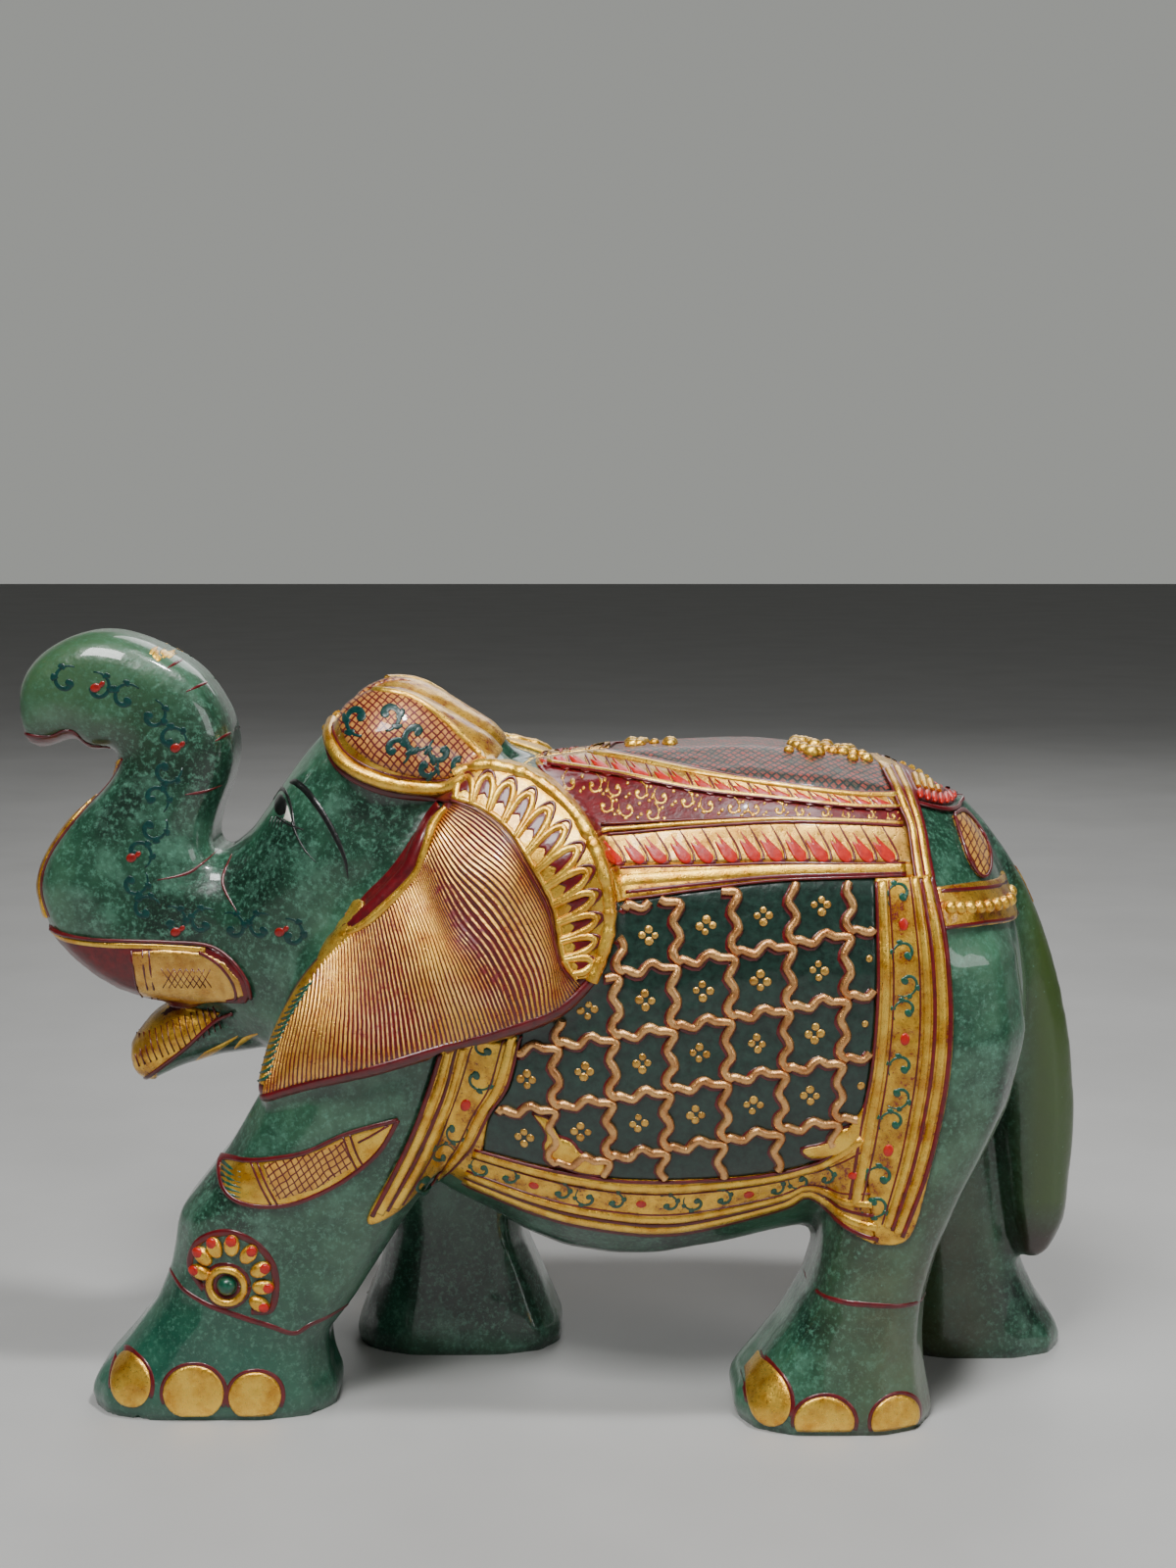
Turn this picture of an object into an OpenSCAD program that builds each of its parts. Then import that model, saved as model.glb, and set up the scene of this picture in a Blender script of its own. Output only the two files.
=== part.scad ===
/* [Block] */
// Length from the curl of the trunk to the tail
length = 148.6; // [120:0.2:180]
// Height from the soles to the top of the trunk
height = 106; // [85:1:127]
// Width over the ears and the hind feet
width = 57; // [46:1:68]

/* [Ears] */
// Thickness of an ear at its free edge
ear_t = 2.6; // [2:0.2:4]
// Depth of the broad folds in an ear
fold_depth = 0.6; // [0:0.1:1]
// Number of broad folds in an ear
folds = 4; // [2:1:6]
// Width of the raised rim of an ear
ear_rim_w = 2; // [1.4:0.2:3]
// Horseshoe scallops along an ear
scallops = 11; // [8:1:14]
// Outer diameter of a scallop
scallop_d = 3.4; // [2.4:0.2:4]

/* [Painted and gilded coats] */
// Thickness of a flat coat of paint and gilding
coat_t = 0.35; // [0.25:0.05:0.6]
// Thickness of a painted line
line_t = 0.25; // [0.2:0.05:0.4]
// Width of a painted line
line_w = 1; // [0.6:0.1:1.6]
// Rise of the bands and borders of the cloth
band_t = 0.6; // [0.4:0.1:1]
// Rise of bold relief over the stone
relief_t = 1.1; // [0.8:0.1:1.6]
// Width of the raised rim round a skull cap
cap_rim_w = 2; // [1.4:0.2:3]

/* [Trellis on the cloth] */
// Width of the piped cord
cord_w = 1.5; // [1:0.1:2]
// Rise of the piped cord over the cloth
cord_rise = 1; // [0.6:0.1:1.4]
// Swing of the cord to each side
cord_swing = 0.45; // [0:0.05:0.6]
// Diameter of a dot in a four-dot flower
dot_d = 1.2; // [0.8:0.1:1.6]
// Rise of a dot over the cloth
dot_rise = 0.35; // [0.25:0.05:0.6]

/* [Beads and rosettes] */
// Diameter of a bead on the spine
spine_bead_d = 2.2; // [1.6:0.2:3]
// Diameter of a bead on the crest of the skull
crest_bead_d = 2.6; // [1.8:0.2:3.4]
// Diameter of a pearl on the crupper
pearl_d = 1.7; // [1.2:0.1:2.2]
// Pearls on each side of the crupper
pearls = 7; // [4:1:10]
// Diameter of a knee rosette
rosette_d = 11; // [8:0.5:13]
// Petals of a knee rosette
petals = 7; // [5:1:9]

/* [Hidden] */

// The carving is laid out on a block of this size and stretched to the real one
block = [148.6, 57, 106];
kx = length / block[0];
ky = width / block[1];
kz = height / block[2];
eps = 0.01;
left = -1;
right = 1;

// ---- stations: two edges [x, z, x, z], middle y, half thickness, squareness ----
torso_rows = [
  [-24, 82, -30, 42, 0, 16, 2.3],
  [-13, 85.4, -20, 30, 0, 21, 2.3],
  [-4, 87.4, -9, 24, 0, 24.5, 2.4],
  [6, 89, 2, 18.6, 0, 26.5, 2.4],
  [18, 90, 15, 17.6, 0, 27.3, 2.4],
  [30, 90, 30, 20.8, 0, 27.3, 2.4],
  [42, 88.5, 44, 24, 0, 26.5, 2.4],
  [50, 86, 55, 30, 0, 24.5, 2.4],
  [57, 81, 62, 38, 0, 20.5, 2.3],
  [62, 74, 65.5, 47, 0, 14, 2.2],
  [64.5, 67, 66.5, 55, 0, 7, 2]
];
head_rows = [
  [-47, 74, -49, 54, 0, 10, 2.6],
  [-42, 78, -43, 49, 0, 12.5, 2.8],
  [-37, 85, -38, 46, 0, 15, 2.8],
  [-31.5, 92, -33, 44, 0, 16.5, 2.8],
  [-25, 96, -27, 42, 0, 17.5, 2.8],
  [-18, 95, -20, 40, 0, 18, 2.6],
  [-10, 88.5, -12, 38, 0, 17.5, 2.4]
];
trunk_rows = [
  [-40, 76, -46, 52.5, 0, 11, 3.2],
  [-45, 75, -57, 54.4, 0, 11, 3.4],
  [-46.8, 75.6, -64, 57.8, 0, 10.8, 3.6],
  [-47, 77, -69.7, 63.2, 0, 10.4, 3.6],
  [-46.8, 78.6, -71.8, 69.6, 0, 10, 3.6],
  [-46, 81, -70.6, 74.2, 0, 9.7, 3.6],
  [-44.9, 83.7, -66.8, 79.6, 0, 9.5, 3.6],
  [-44, 86.5, -62.4, 83.8, 0, 9.3, 3.6],
  [-43.8, 90, -60.2, 86.9, 0, 9.2, 3.6],
  [-44.8, 94.4, -60.3, 88.9, 0, 9.1, 3.6],
  [-48.4, 100, -61.5, 89.8, 0, 9, 3.6],
  [-53.6, 103.4, -62.8, 89.4, 0, 8.9, 3.6],
  [-59.6, 105.8, -64, 89, 0, 8.8, 3.6],
  [-65, 105.6, -65.6, 91.2, 0, 8.6, 3.6],
  [-70, 103, -69, 90, 0, 8.3, 3.4],
  [-72.8, 99.8, -72, 89.6, 0, 7.6, 3],
  [-73.4, 97.2, -73, 92.4, 0, 5.5, 2.6]
];
jaw_rows = [
  [-41, 54, -41, 46.5, 0, 8, 2.4],
  [-47, 55, -47, 45.6, 0, 7.6, 2.4],
  [-52.5, 54, -53, 43.6, 0, 7, 2.4],
  [-56.5, 51.5, -56.5, 41.8, 0, 6, 2.4],
  [-59.4, 47.5, -58.8, 42.8, 0, 4, 2.2]
];
tail_rows = [
  [57, 83, 52, 78, 2, 5, 2.8],
  [61, 79, 56, 72, 2.2, 5, 2.8],
  [67, 70, 60, 62, 2.6, 5, 2.8],
  [71, 60, 62, 52, 3, 5.2, 2.8],
  [73.8, 49, 63, 42, 3.2, 5.2, 2.8],
  [75, 37, 64, 32, 3.4, 5.2, 2.8],
  [74.7, 27, 65, 24, 3.4, 5, 2.8],
  [74, 20.5, 66.2, 18, 3.4, 4.6, 2.6],
  [71.5, 15.5, 67.6, 14.5, 3.4, 3.4, 2.2]
];
leg_rows = [
  // left foreleg, stepping forward
  [
    [-30, 66, -8, 68, -9, 8, 2.4],
    [-34, 57, -7, 56, -12.5, 11.4, 2.5],
    [-38, 47, -11, 43, -13.2, 11.6, 2.6],
    [-44.5, 36, -16.5, 31, -13, 11.5, 2.8],
    [-51, 27.5, -20, 26, -12.4, 11, 3],
    [-52.4, 20, -23.4, 20.5, -12, 10.6, 3],
    [-54.6, 14.5, -27, 14.8, -11.8, 10.6, 3],
    [-58.6, 9.3, -30.6, 10, -11.6, 11, 3],
    [-62.6, 4.8, -30, 5, -11.4, 11.6, 3],
    [-64, 2, -28.8, 2, -11.4, 11.8, 3],
    [-63.4, 0, -29, 0, -11.4, 11.5, 3]
  ],
  // left hind leg, stepping forward
  [
    [34, 73, 57, 74, -9, 9, 2.4],
    [31.5, 62, 63, 64, -12.6, 12.8, 2.5],
    [32, 50, 64.4, 53, -13.5, 13, 2.6],
    [34.5, 38, 62, 43, -14, 12.8, 2.8],
    [37, 29, 56.5, 32, -14.6, 12.4, 2.8],
    [36.2, 23, 52.8, 24, -14.8, 12, 3],
    [34.4, 17, 51, 17.3, -15, 11.8, 3],
    [31.4, 12, 50.6, 12, -15, 12, 3],
    [28, 7.6, 51, 7.6, -15, 12.5, 3],
    [24.6, 3.5, 51.8, 3.5, -15, 13.2, 3],
    [24.2, 1.6, 52.2, 1.6, -15, 13.4, 3],
    [24.8, 0, 52, 0, -15, 13.2, 3]
  ],
  // right foreleg, trailing
  [
    [-28, 66, -7, 68, 9, 8, 2.4],
    [-29, 55, -5, 55, 12.4, 11.4, 2.5],
    [-29, 40, -4, 38, 13.2, 11.6, 2.6],
    [-26, 27, -5, 25, 13.2, 11, 2.8],
    [-24.4, 17.5, -4.4, 16, 13, 10.6, 3],
    [-26.4, 10, -2, 10.4, 13, 10.8, 3],
    [-28.8, 4.4, 0.4, 4.6, 13, 11.4, 3],
    [-29.6, 1.8, 1.6, 1.8, 13, 11.6, 3],
    [-29.2, 0, 1.4, 0, 13, 11.4, 3]
  ],
  // right hind leg, trailing
  [
    [36, 73, 57, 74, 9, 9, 2.4],
    [37, 62, 63, 64, 12.6, 12.8, 2.5],
    [41, 49, 65.4, 51, 13, 13, 2.6],
    [46, 37, 66, 38, 13, 12.4, 2.8],
    [49, 27, 66.6, 27, 12.6, 11.6, 3],
    [50.5, 18, 67.6, 18, 12.4, 11.2, 3],
    [50.5, 12, 69.2, 12, 12.2, 11.2, 3],
    [49.6, 7, 71.6, 7, 12.2, 11.4, 3],
    [48.6, 3.4, 74.2, 3.4, 12.2, 11.8, 3],
    [48.4, 1.6, 75, 1.6, 12.2, 12, 3],
    [48.8, 0, 74.8, 0, 12.2, 11.8, 3]
  ]
];
// ears: root edge [x, z], free edge [x, z], y of the root, y of the free edge, and
// how much thicker than ear_t the free edge is, where it is not undercut
ear_rows = [
  [-13.5, 84.5, -9.5, 89, 18.6, 16, 9],
  [-14.5, 83.5, -1.5, 87, 19, 19.5, 10],
  [-15.5, 81.5, 4.5, 82, 19.4, 23, 10],
  [-17.5, 79, 7.6, 76, 19.8, 25.4, 9],
  [-19.5, 76, 8.6, 69.5, 20, 26.8, 7],
  [-21.5, 73.5, 6.8, 63, 20, 27.6, 5],
  [-24, 71, 1.5, 57.5, 20, 27.9, 3],
  [-26.5, 68, -7, 54, 20, 27.9, 1],
  [-29.5, 64.5, -15, 51.8, 19.8, 27.8, 0],
  [-32.5, 61, -23, 49.3, 19.4, 27.2, 0],
  [-35, 57, -30, 47.2, 19, 26, 0],
  [-37.4, 51.5, -35.2, 45.4, 18.8, 24, 0],
  [-39, 47, -38.6, 44, 19, 22, 0]
];

// ---- geometry helpers ----
function catmull(p, q, r, s, t) =
  0.5 * (2 * q + (r - p) * t + (2 * p - 5 * q + 4 * r - s) * t * t
         + (3 * q - p - 3 * r + s) * t * t * t);
function refine(rows, steps) = [
  for (i = [0 : len(rows) - 2])
    for (j = [0 : steps - 1])
      catmull(rows[max(i - 1, 0)], rows[i], rows[i + 1],
              rows[min(i + 2, len(rows) - 1)], j / steps),
  rows[len(rows) - 1]
];
function mix(a, b, t) = a + (b - a) * t;
function turned(list) = [for (i = [len(list) - 1 : -1 : 0]) list[i]];
function bend(v, e) = sign(v) * pow(abs(v), e);
function ring(row, sides, grow) =
  let (a = [row[0] * kx, row[1] * kz], b = [row[2] * kx, row[3] * kz],
       mid = (a + b) / 2, half = norm(a - b) / 2, dir = (a - b) / norm(a - b))
  [for (i = [0 : sides - 1])
    let (e = 2 / row[6],
         u = bend(cos(360 * (i + 0.5) / sides), e) * (half + grow),
         v = bend(sin(360 * (i + 0.5) / sides), e) * (row[5] * ky + grow))
    [mid[0] + dir[0] * u, row[4] * ky + v, mid[1] + dir[1] * u]];
function volume(points, faces) = let (parts = [
  for (f = faces) points[f[0]] * cross(points[f[1]], points[f[2]])
]) [for (p = parts) 1] * parts;

// Closed skin over a list of flat rings, with its faces turned outwards
module skin(rings) {
  n = len(rings[0]);
  last = len(rings) - 1;
  points = [for (r = rings) each r];
  walls = [
    for (i = [0 : last - 1], j = [0 : n - 1])
      let (a = i * n + j, b = i * n + (j + 1) % n)
      each [[a, b, b + n], [a, b + n, a + n]]
  ];
  first_lid = [for (j = [n - 1 : -1 : 0]) j];
  last_lid = [for (j = [0 : n - 1]) last * n + j];
  fans = [
    for (lid = [first_lid, last_lid], j = [1 : n - 2]) [lid[0], lid[j], lid[j + 1]]
  ];
  inside_out = volume(points, concat(walls, fans)) > 0;
  faces = concat(walls, [first_lid, last_lid]);
  polyhedron(points, inside_out ? [for (f = faces) turned(f)] : faces);
}

module slab_sweep(rows, steps, sides, grow) {
  skin([for (row = refine(rows, steps)) ring(row, sides, grow)]);
}

// Two balls wrapped together: a muscle or a skull dome
module lump(a, b, grow) {
  hull() for (p = [a, b])
    translate([p[0] * kx, p[1] * ky, p[2] * kz]) sphere(r = p[3] * ky + grow, $fn = 14);
}

// ---- the carving ----
module torso(grow) {
  slab_sweep(torso_rows, 2, 20, grow);
  for (side = [left, right]) {
    lump([48, side * 12, 64, 13.6], [48, side * 14.6, 47, 12.2], grow);
    lump([-14, side * 9, 64, 12], [-24, side * 12.5, 46, 10.5], grow);
  }
}
module jaw(grow) slab_sweep(jaw_rows, 1, 10, grow);
module head(grow) {
  slab_sweep(head_rows, 2, 16, grow);
  jaw(grow);
  for (side = [left, right]) {
    lump([-21.6, side * 8.8, 89, 9.2], [-12.5, side * 8.6, 86.2, 6.8], grow);
    lump([-38, side * 4.5, 66, 9.5], [-30, side * 7, 60, 10], grow);
  }
}
module trunk(grow) slab_sweep(trunk_rows, 2, 12, grow);
module tail(grow) slab_sweep(tail_rows, 2, 8, grow);
module leg(which, grow) slab_sweep(leg_rows[which], 1, 12, grow);

// Outer face of an ear along one of its stations, `rise` above the stone
function ear_face(row, steps, grow, rise) =
  let (a = [row[0] * kx, row[1] * kz], b = [row[2] * kx, row[3] * kz], dir = (b - a) / norm(b - a))
  [for (i = [0 : steps])
    let (t = i / steps, p = a + (b - a) * t + dir * grow * (2 * t - 1))
    [p[0], -(row[4] + (row[5] - row[4]) * sin(90 * t)) * ky
           - fold_depth * cos(360 * folds * row[7]) * t - rise, p[1]]];
ear_parts = 4;
root_t = 5;
ear_stations = refine(
  [for (i = [0 : len(ear_rows) - 1]) concat(ear_rows[i], [i / (len(ear_rows) - 1)])], 2);
module ear(side, grow) {
  mirror([0, side > 0 ? 1 : 0, 0]) skin([
    for (row = ear_stations)
      let (face = ear_face(row, ear_parts, grow, grow))
      concat(face, [for (i = [ear_parts : -1 : 0])
        face[i] + [0, 2 * grow + ear_t + mix(root_t, row[6], i / ear_parts) * ky, 0]])
  ]);
}
// A skin over the outer face of an ear, between two depths
module ear_skin(side, low, high) {
  mirror([0, side > 0 ? 1 : 0, 0]) skin([
    for (row = ear_stations)
      let (under = ear_face(row, ear_parts, 0, low))
      concat(ear_face(row, ear_parts, 0, high), [for (i = [ear_parts : -1 : 0]) under[i]])
  ]);
}

module trunk_body_and_legs(grow) {
  torso(grow);
  head(grow);
  trunk(grow);
  tail(grow);
  for (i = [0 : 3]) leg(i, grow);
}
module stone(grow = 0) {
  trunk_body_and_legs(grow);
  for (side = [left, right]) ear(side, grow);
}

// ---- laying a coat on the stone ----
function put(points) = [for (p = points) [p[0] * kx, p[1] * kz]];
function unit(v) = v / norm(v);
function across(v) = [-v[1], v[0]];
// Side of a line at point i, lengthened at the bends so that the width stays even
function corner(path, i) =
  let (last = len(path) - 1,
       t1 = unit(path[max(i, 1)] - path[max(i, 1) - 1]),
       t2 = unit(path[min(i, last - 1) + 1] - path[min(i, last - 1)]),
       n = across(unit(t1 + t2)))
  n / max(0.5, n * across(t1));
function ribbon(path, w) = concat(
  [for (i = [0 : len(path) - 1]) path[i] + corner(path, i) * w / 2],
  [for (i = [len(path) - 1 : -1 : 0]) path[i] - corner(path, i) * w / 2]);

// A flat shape in side view, pushed out sideways on one side of the carving
module outward(side, from = 0) {
  mirror([0, side > 0 ? 1 : 0, 0])
    translate([0, -from * ky, 0]) rotate([90, 0, 0])
      linear_extrude((width / 2 + 5) - from * ky) children();
}
module shape_of(part, grow) {
  if (part == "body" || part == "cloth") torso(grow);
  if (part == "cloth") for (i = [0 : 3]) leg(i, grow);
  if (part == "leg") for (i = [0 : 3]) leg(i, grow);
  if (part == "head" || part == "face") head(grow);
  if (part == "trunk" || part == "face") trunk(grow);
}
// What lies inside the given shape between two depths over the stone
module coat(part, low, high) {
  difference() {
    intersection() {
      children();
      shape_of(part, high);
    }
    stone(low);
  }
}
// The same on the outer face of an ear
module ear_coat(side, low, high) {
  difference() {
    intersection() {
      outward(side) children();
      ear_skin(side, low, high);
    }
    trunk_body_and_legs(low);
  }
}

// ---- lines of the cloth in side view: neighbours share them ----
field_top = [[-4, 71], [9, 71.6], [20, 73], [30, 74.1], [42.5, 74.4]];
rule_top = [[-4, 75], [10, 76], [20, 76.2], [30, 76.4], [47.6, 76]];
leaf_top = [[-4, 78.6], [10, 79.9], [20, 80.8], [30, 81.3], [40, 81], [47.2, 80.4]];
scroll_top = [[-6, 87.6], [0, 87.2], [10, 86.3], [20, 84.8], [30, 83.8], [40, 82.7], [46.5, 82.4]];
panel_edge = [[-2, 89.6], [10, 88.6], [20, 87.2], [30, 85.8], [40, 84.5], [45.9, 84.2]];
field_rear = [[42.5, 74.4], [42.6, 60], [42, 50], [41, 42]];
field_foot = [[41, 42], [36, 37], [29.5, 35], [20, 34.3], [10, 34.2], [0, 35.5], [-9, 37]];
field_front = [[-9, 37], [-8, 42.5], [-5.3, 47], [-4, 53]];
hem = [
  [-14, 53], [-17, 44], [-19.4, 38], [-24.6, 28], [-20.8, 28.8], [-15.5, 33], [-9.7, 30.5],
  [0, 27.3], [10, 25.4], [15, 25], [20, 25.6], [31, 29], [34.5, 31], [39.5, 27.5], [43, 26]
];
rear_inner = [[40, 94], [44.6, 88], [45.9, 84.2], [46.5, 82.4], [47.2, 80.4], [47.6, 76], [47.8, 74.4]];
rear_outer = [
  [43, 26], [47.4, 27], [50, 36], [52.1, 46], [52.8, 56], [52, 66], [50, 76],
  [49.4, 81], [48.6, 86], [44, 94]
];
cap_edge = [
  [-30.5, 96], [-29.6, 91.5], [-27.2, 88], [-23.3, 86.4], [-19, 85.3], [-13.4, 85.2],
  [-11, 86.4], [-8.4, 89.5], [-5, 94], [-10, 99], [-20, 101], [-28, 100]
];

module stone_elephant() {
  color("darkslategray") union() stone();
}
module cloth_field(side) {
  color("#16302a") coat("cloth", 0, coat_t) outward(side, 6)
    polygon(put(concat(field_top, field_rear, field_foot, field_front)));
}
module cloth_border(side) {
  color("goldenrod") coat("cloth", 0, band_t) outward(side, 6)
    polygon(put(concat(hem, field_foot, field_front)));
}
module gold_rule(side) {
  color("gold") coat("cloth", 0, band_t) outward(side, 6)
    polygon(put(concat(field_top, [[47.8, 74.4]], turned(rule_top))));
}
module lower_leaf_band(side) {
  color("orange") coat("cloth", 0, band_t) outward(side, 6)
    polygon(put(concat(rule_top, turned(leaf_top))));
}
module scroll_band(side) {
  color("darkred") coat("cloth", 0, coat_t) outward(side, 3)
    polygon(put(concat(leaf_top, turned(scroll_top))));
}
module upper_leaf_band(side) {
  color("orange") coat("cloth", 0, band_t) outward(side, 1)
    polygon(put(concat(scroll_top, turned(panel_edge))));
}
module spine_panel() {
  color("rosybrown") coat("body", 0, coat_t)
    for (side = [left, right]) outward(side, -eps)
      polygon(put(concat(panel_edge, [[44.6, 88], [40, 94], [4, 94]])));
}
module rear_band() {
  color("gold") coat("cloth", 0, band_t)
    for (side = [left, right]) outward(side, -eps)
      polygon(put(concat(rear_inner, field_rear, rear_outer)));
}

// Height of the back over the middle line, and how far it has dropped at y
back_line = [for (row = torso_rows) [row[0] * kx, row[1] * kz]];
function back_z(x, y) = lookup(x, back_line) - 13.7 * kz * pow(abs(y) / (27.3 * ky), 2.4);

// Beads set in rows across the back
spine_bead_rows = [12, 14.6, 34, 36.6, 39.2, 41.8];
module spine_beads() {
  color("gold") difference() {
    for (x = spine_bead_rows, y = [-3.4, 0, 3.4])
      translate([x * kx, y * ky, back_z(x * kx, y * ky)]) sphere(d = spine_bead_d, $fn = 6);
    stone(coat_t);
  }
}

// ---- trellis: cords run in steps, right by one cell and down by one cell ----
cell_right = [7.5, 1.3];
cell_down = [-0.4, -8.3];
first_corner = [-21, 72.5];
waves = 1;
// How far the cords and the flowers stay inside the edge of the field
cord_margin = 0.6;
flower_margin = 1.6;
function steps_path(start, count) = [
  for (k = [0 : count - 1])
    let (from = start + floor((k + 1) / 2) * cell_right + floor(k / 2) * cell_down,
         run = k % 2 == 0 ? cell_right : cell_down)
      for (i = [0 : 2 * waves - 1])
        from + run * i / (2 * waves)
        + (i == 0 ? [0, 0] : across(unit(run)) * cord_swing * (i % 2 == 0 ? -1 : 1))
];
module field_shape(inset) {
  offset(delta = -inset)
    polygon(put(concat(field_top, field_rear, field_foot, field_front)));
}
module trellis(side) {
  color("#c9a36a") coat("cloth", coat_t, coat_t + cord_rise) outward(side, 10)
    intersection() {
      field_shape(cord_margin);
      union() for (k = [0 : 10])
        polygon(ribbon(put(steps_path(first_corner + k * (cell_right - cell_down), 26)), cord_w));
    }
}
module trellis_flowers(side) {
  reach = dot_d * 1.1;
  color("khaki") coat("cloth", coat_t, coat_t + dot_rise) outward(side, 10)
    intersection() {
      field_shape(flower_margin);
      union() for (i = [0 : 12], j = [0 : 5])
        let (p = first_corner + (i + 0.5) * cell_right + (j - 0.5) * cell_down)
          if (p[0] > -8 && p[0] < 42)
            translate(put([p])[0]) circle(r = reach, $fn = 5);
    }
}

// ---- hind quarters ----
crupper = [
  [50.8, 72.8], [57, 72.9], [66, 71.6], [70, 70], [70, 66], [66, 66.6], [57, 67.6], [51.8, 67.7]
];
module crupper_band() {
  color("gold") coat("cloth", 0, band_t)
    for (side = [left, right]) outward(side, 4) polygon(put(crupper));
}
module crupper_pearls() {
  color("lightyellow") coat("cloth", band_t, band_t + pearl_d / 2)
    for (side = [left, right], i = [0 : pearls - 1]) outward(side, 8)
      translate([mix(53.2, 62, i / (pearls - 1)) * kx, 70.2 * kz]) circle(d = pearl_d * 0.8, $fn = 6);
}
module rump_fringe() {
  color("gold") coat("cloth", 0, relief_t)
    for (side = [left, right]) outward(side, -eps)
      polygon(put([[48.8, 86], [47, 90], [57, 90], [58.4, 83], [56, 81.8], [53, 82.3], [49.4, 83.4]]));
}
module rump_leaves() {
  color("olive") coat("cloth", 0, coat_t)
    for (side = [left, right]) outward(side, 4)
      polygon(put([[54.4, 81], [57, 80], [59.4, 77.4], [59, 74.6], [57, 73.2], [55.4, 76]]));
}

// ---- ears ----
function edge_point(row, depth) =
  let (a = [row[0], row[1]], b = [row[2], row[3]]) b + unit(a - b) * depth;
module ear_gilding(side) {
  color("goldenrod") ear_coat(side, 0, coat_t) translate([-length, -1]) square(2 * length);
}
module ear_rim(side) {
  rim_rows = [for (i = [0 : 5]) ear_rows[i]];
  past_the_top = [-3, 2];
  past_the_end = [-0.4, -0.7];
  color("gold") ear_coat(side, coat_t, coat_t + relief_t)
    polygon(put(concat(
      [edge_point(rim_rows[0], -2) + past_the_top],
      [for (row = rim_rows) edge_point(row, -2)],
      [edge_point(rim_rows[5], -2) + past_the_end, edge_point(rim_rows[5], ear_rim_w) + past_the_end],
      turned([for (row = rim_rows) edge_point(row, ear_rim_w)]),
      [edge_point(rim_rows[0], ear_rim_w) + past_the_top])));
}
module ear_scallops(side) {
  arc = refine([for (i = [0 : 5]) ear_rows[i]], 8);
  color("gold") ear_coat(side, coat_t, coat_t + relief_t)
    for (i = [0 : scallops - 1])
      let (p = edge_point(arc[round(mix(5, len(arc) - 1, i / (scallops - 1)))],
                          ear_rim_w + scallop_d / 2 + 0.2))
        translate([p[0] * kx, p[1] * kz]) difference() {
          circle(d = scallop_d, $fn = 6);
          circle(d = scallop_d * 0.4, $fn = 4);
        }
}

// ---- head ----
module cap_ground(side) {
  color("salmon") coat("head", 0, coat_t) outward(side, -eps)
    offset(delta = -cap_rim_w) polygon(put(cap_edge));
}
module cap_rim(side) {
  color("gold") coat("head", 0, relief_t) outward(side, 1)
    difference() {
      polygon(put(cap_edge));
      offset(delta = -cap_rim_w) polygon(put(cap_edge));
    }
}
crest = [
  [-31, 92.8], [-28, 95.2], [-24.5, 96.6], [-21, 96.6], [-17.5, 95.6], [-14, 93.4], [-11, 90.6],
  [-8, 88.8]
];
module crest_beads() {
  color("gold") difference() {
    for (p = crest) translate([p[0] * kx, 0, p[1] * kz]) sphere(d = crest_bead_d, $fn = 6);
    stone(coat_t);
  }
}
module eyes() {
  color("black") coat("face", 0, line_t)
    for (side = [left, right]) outward(side)
      polygon(put([[-38.4, 81.4], [-37.4, 83.3], [-35.6, 83], [-34.4, 79.8], [-36, 80.4]]));
}
brow = [[-35.6, 85.4], [-33, 84.6], [-31, 82.3], [-28.8, 79], [-27.3, 76], [-27, 73.6]];
module eyebrows() {
  color("black") coat("face", 0, line_t)
    for (side = [left, right]) outward(side) polygon(ribbon(put(brow), line_w));
}
module tusk_band(side) {
  color("firebrick") coat("face", 0, coat_t) outward(side, 3)
    polygon(put([
      [-71, 64.6], [-64, 63.6], [-53, 63.3], [-47.2, 63], [-44, 61.5], [-41.6, 58.7],
      [-41, 56.5], [-41.8, 55.2], [-48, 54.6], [-54, 51], [-66, 52]
    ]));
}
module jaw_gilding() {
  color("goldenrod") difference() {
    intersection() {
      for (side = [left, right]) outward(side, -eps)
        polygon(put([
          [-52.4, 53.6], [-62, 53], [-63, 42], [-57, 40], [-55.4, 44.2],
          [-51.5, 47.3], [-47.5, 50.8], [-46, 53]
        ]));
      jaw(coat_t);
    }
    stone(0);
  }
}
front_line = [[-60.4, 87.2], [-62.6, 84], [-66.8, 79.6], [-70.8, 74.2], [-71.8, 69.6], [-70.6, 65.8]];
front_w = 2.4;
module trunk_front_gilding() {
  color("gold") coat("trunk", 0, relief_t)
    for (side = [left, right]) outward(side, -eps) polygon(ribbon(put(front_line), front_w));
}
lip_w = 1.6;
lip_line = [[-73.4, 91], [-69.2, 90.4], [-65.8, 91.4], [-64, 89.4], [-60, 88.6]];
module trunk_tip_lips() {
  color("maroon") coat("trunk", 0, line_t)
    for (side = [left, right]) outward(side, 2) polygon(ribbon(put(lip_line), lip_w));
}

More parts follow.
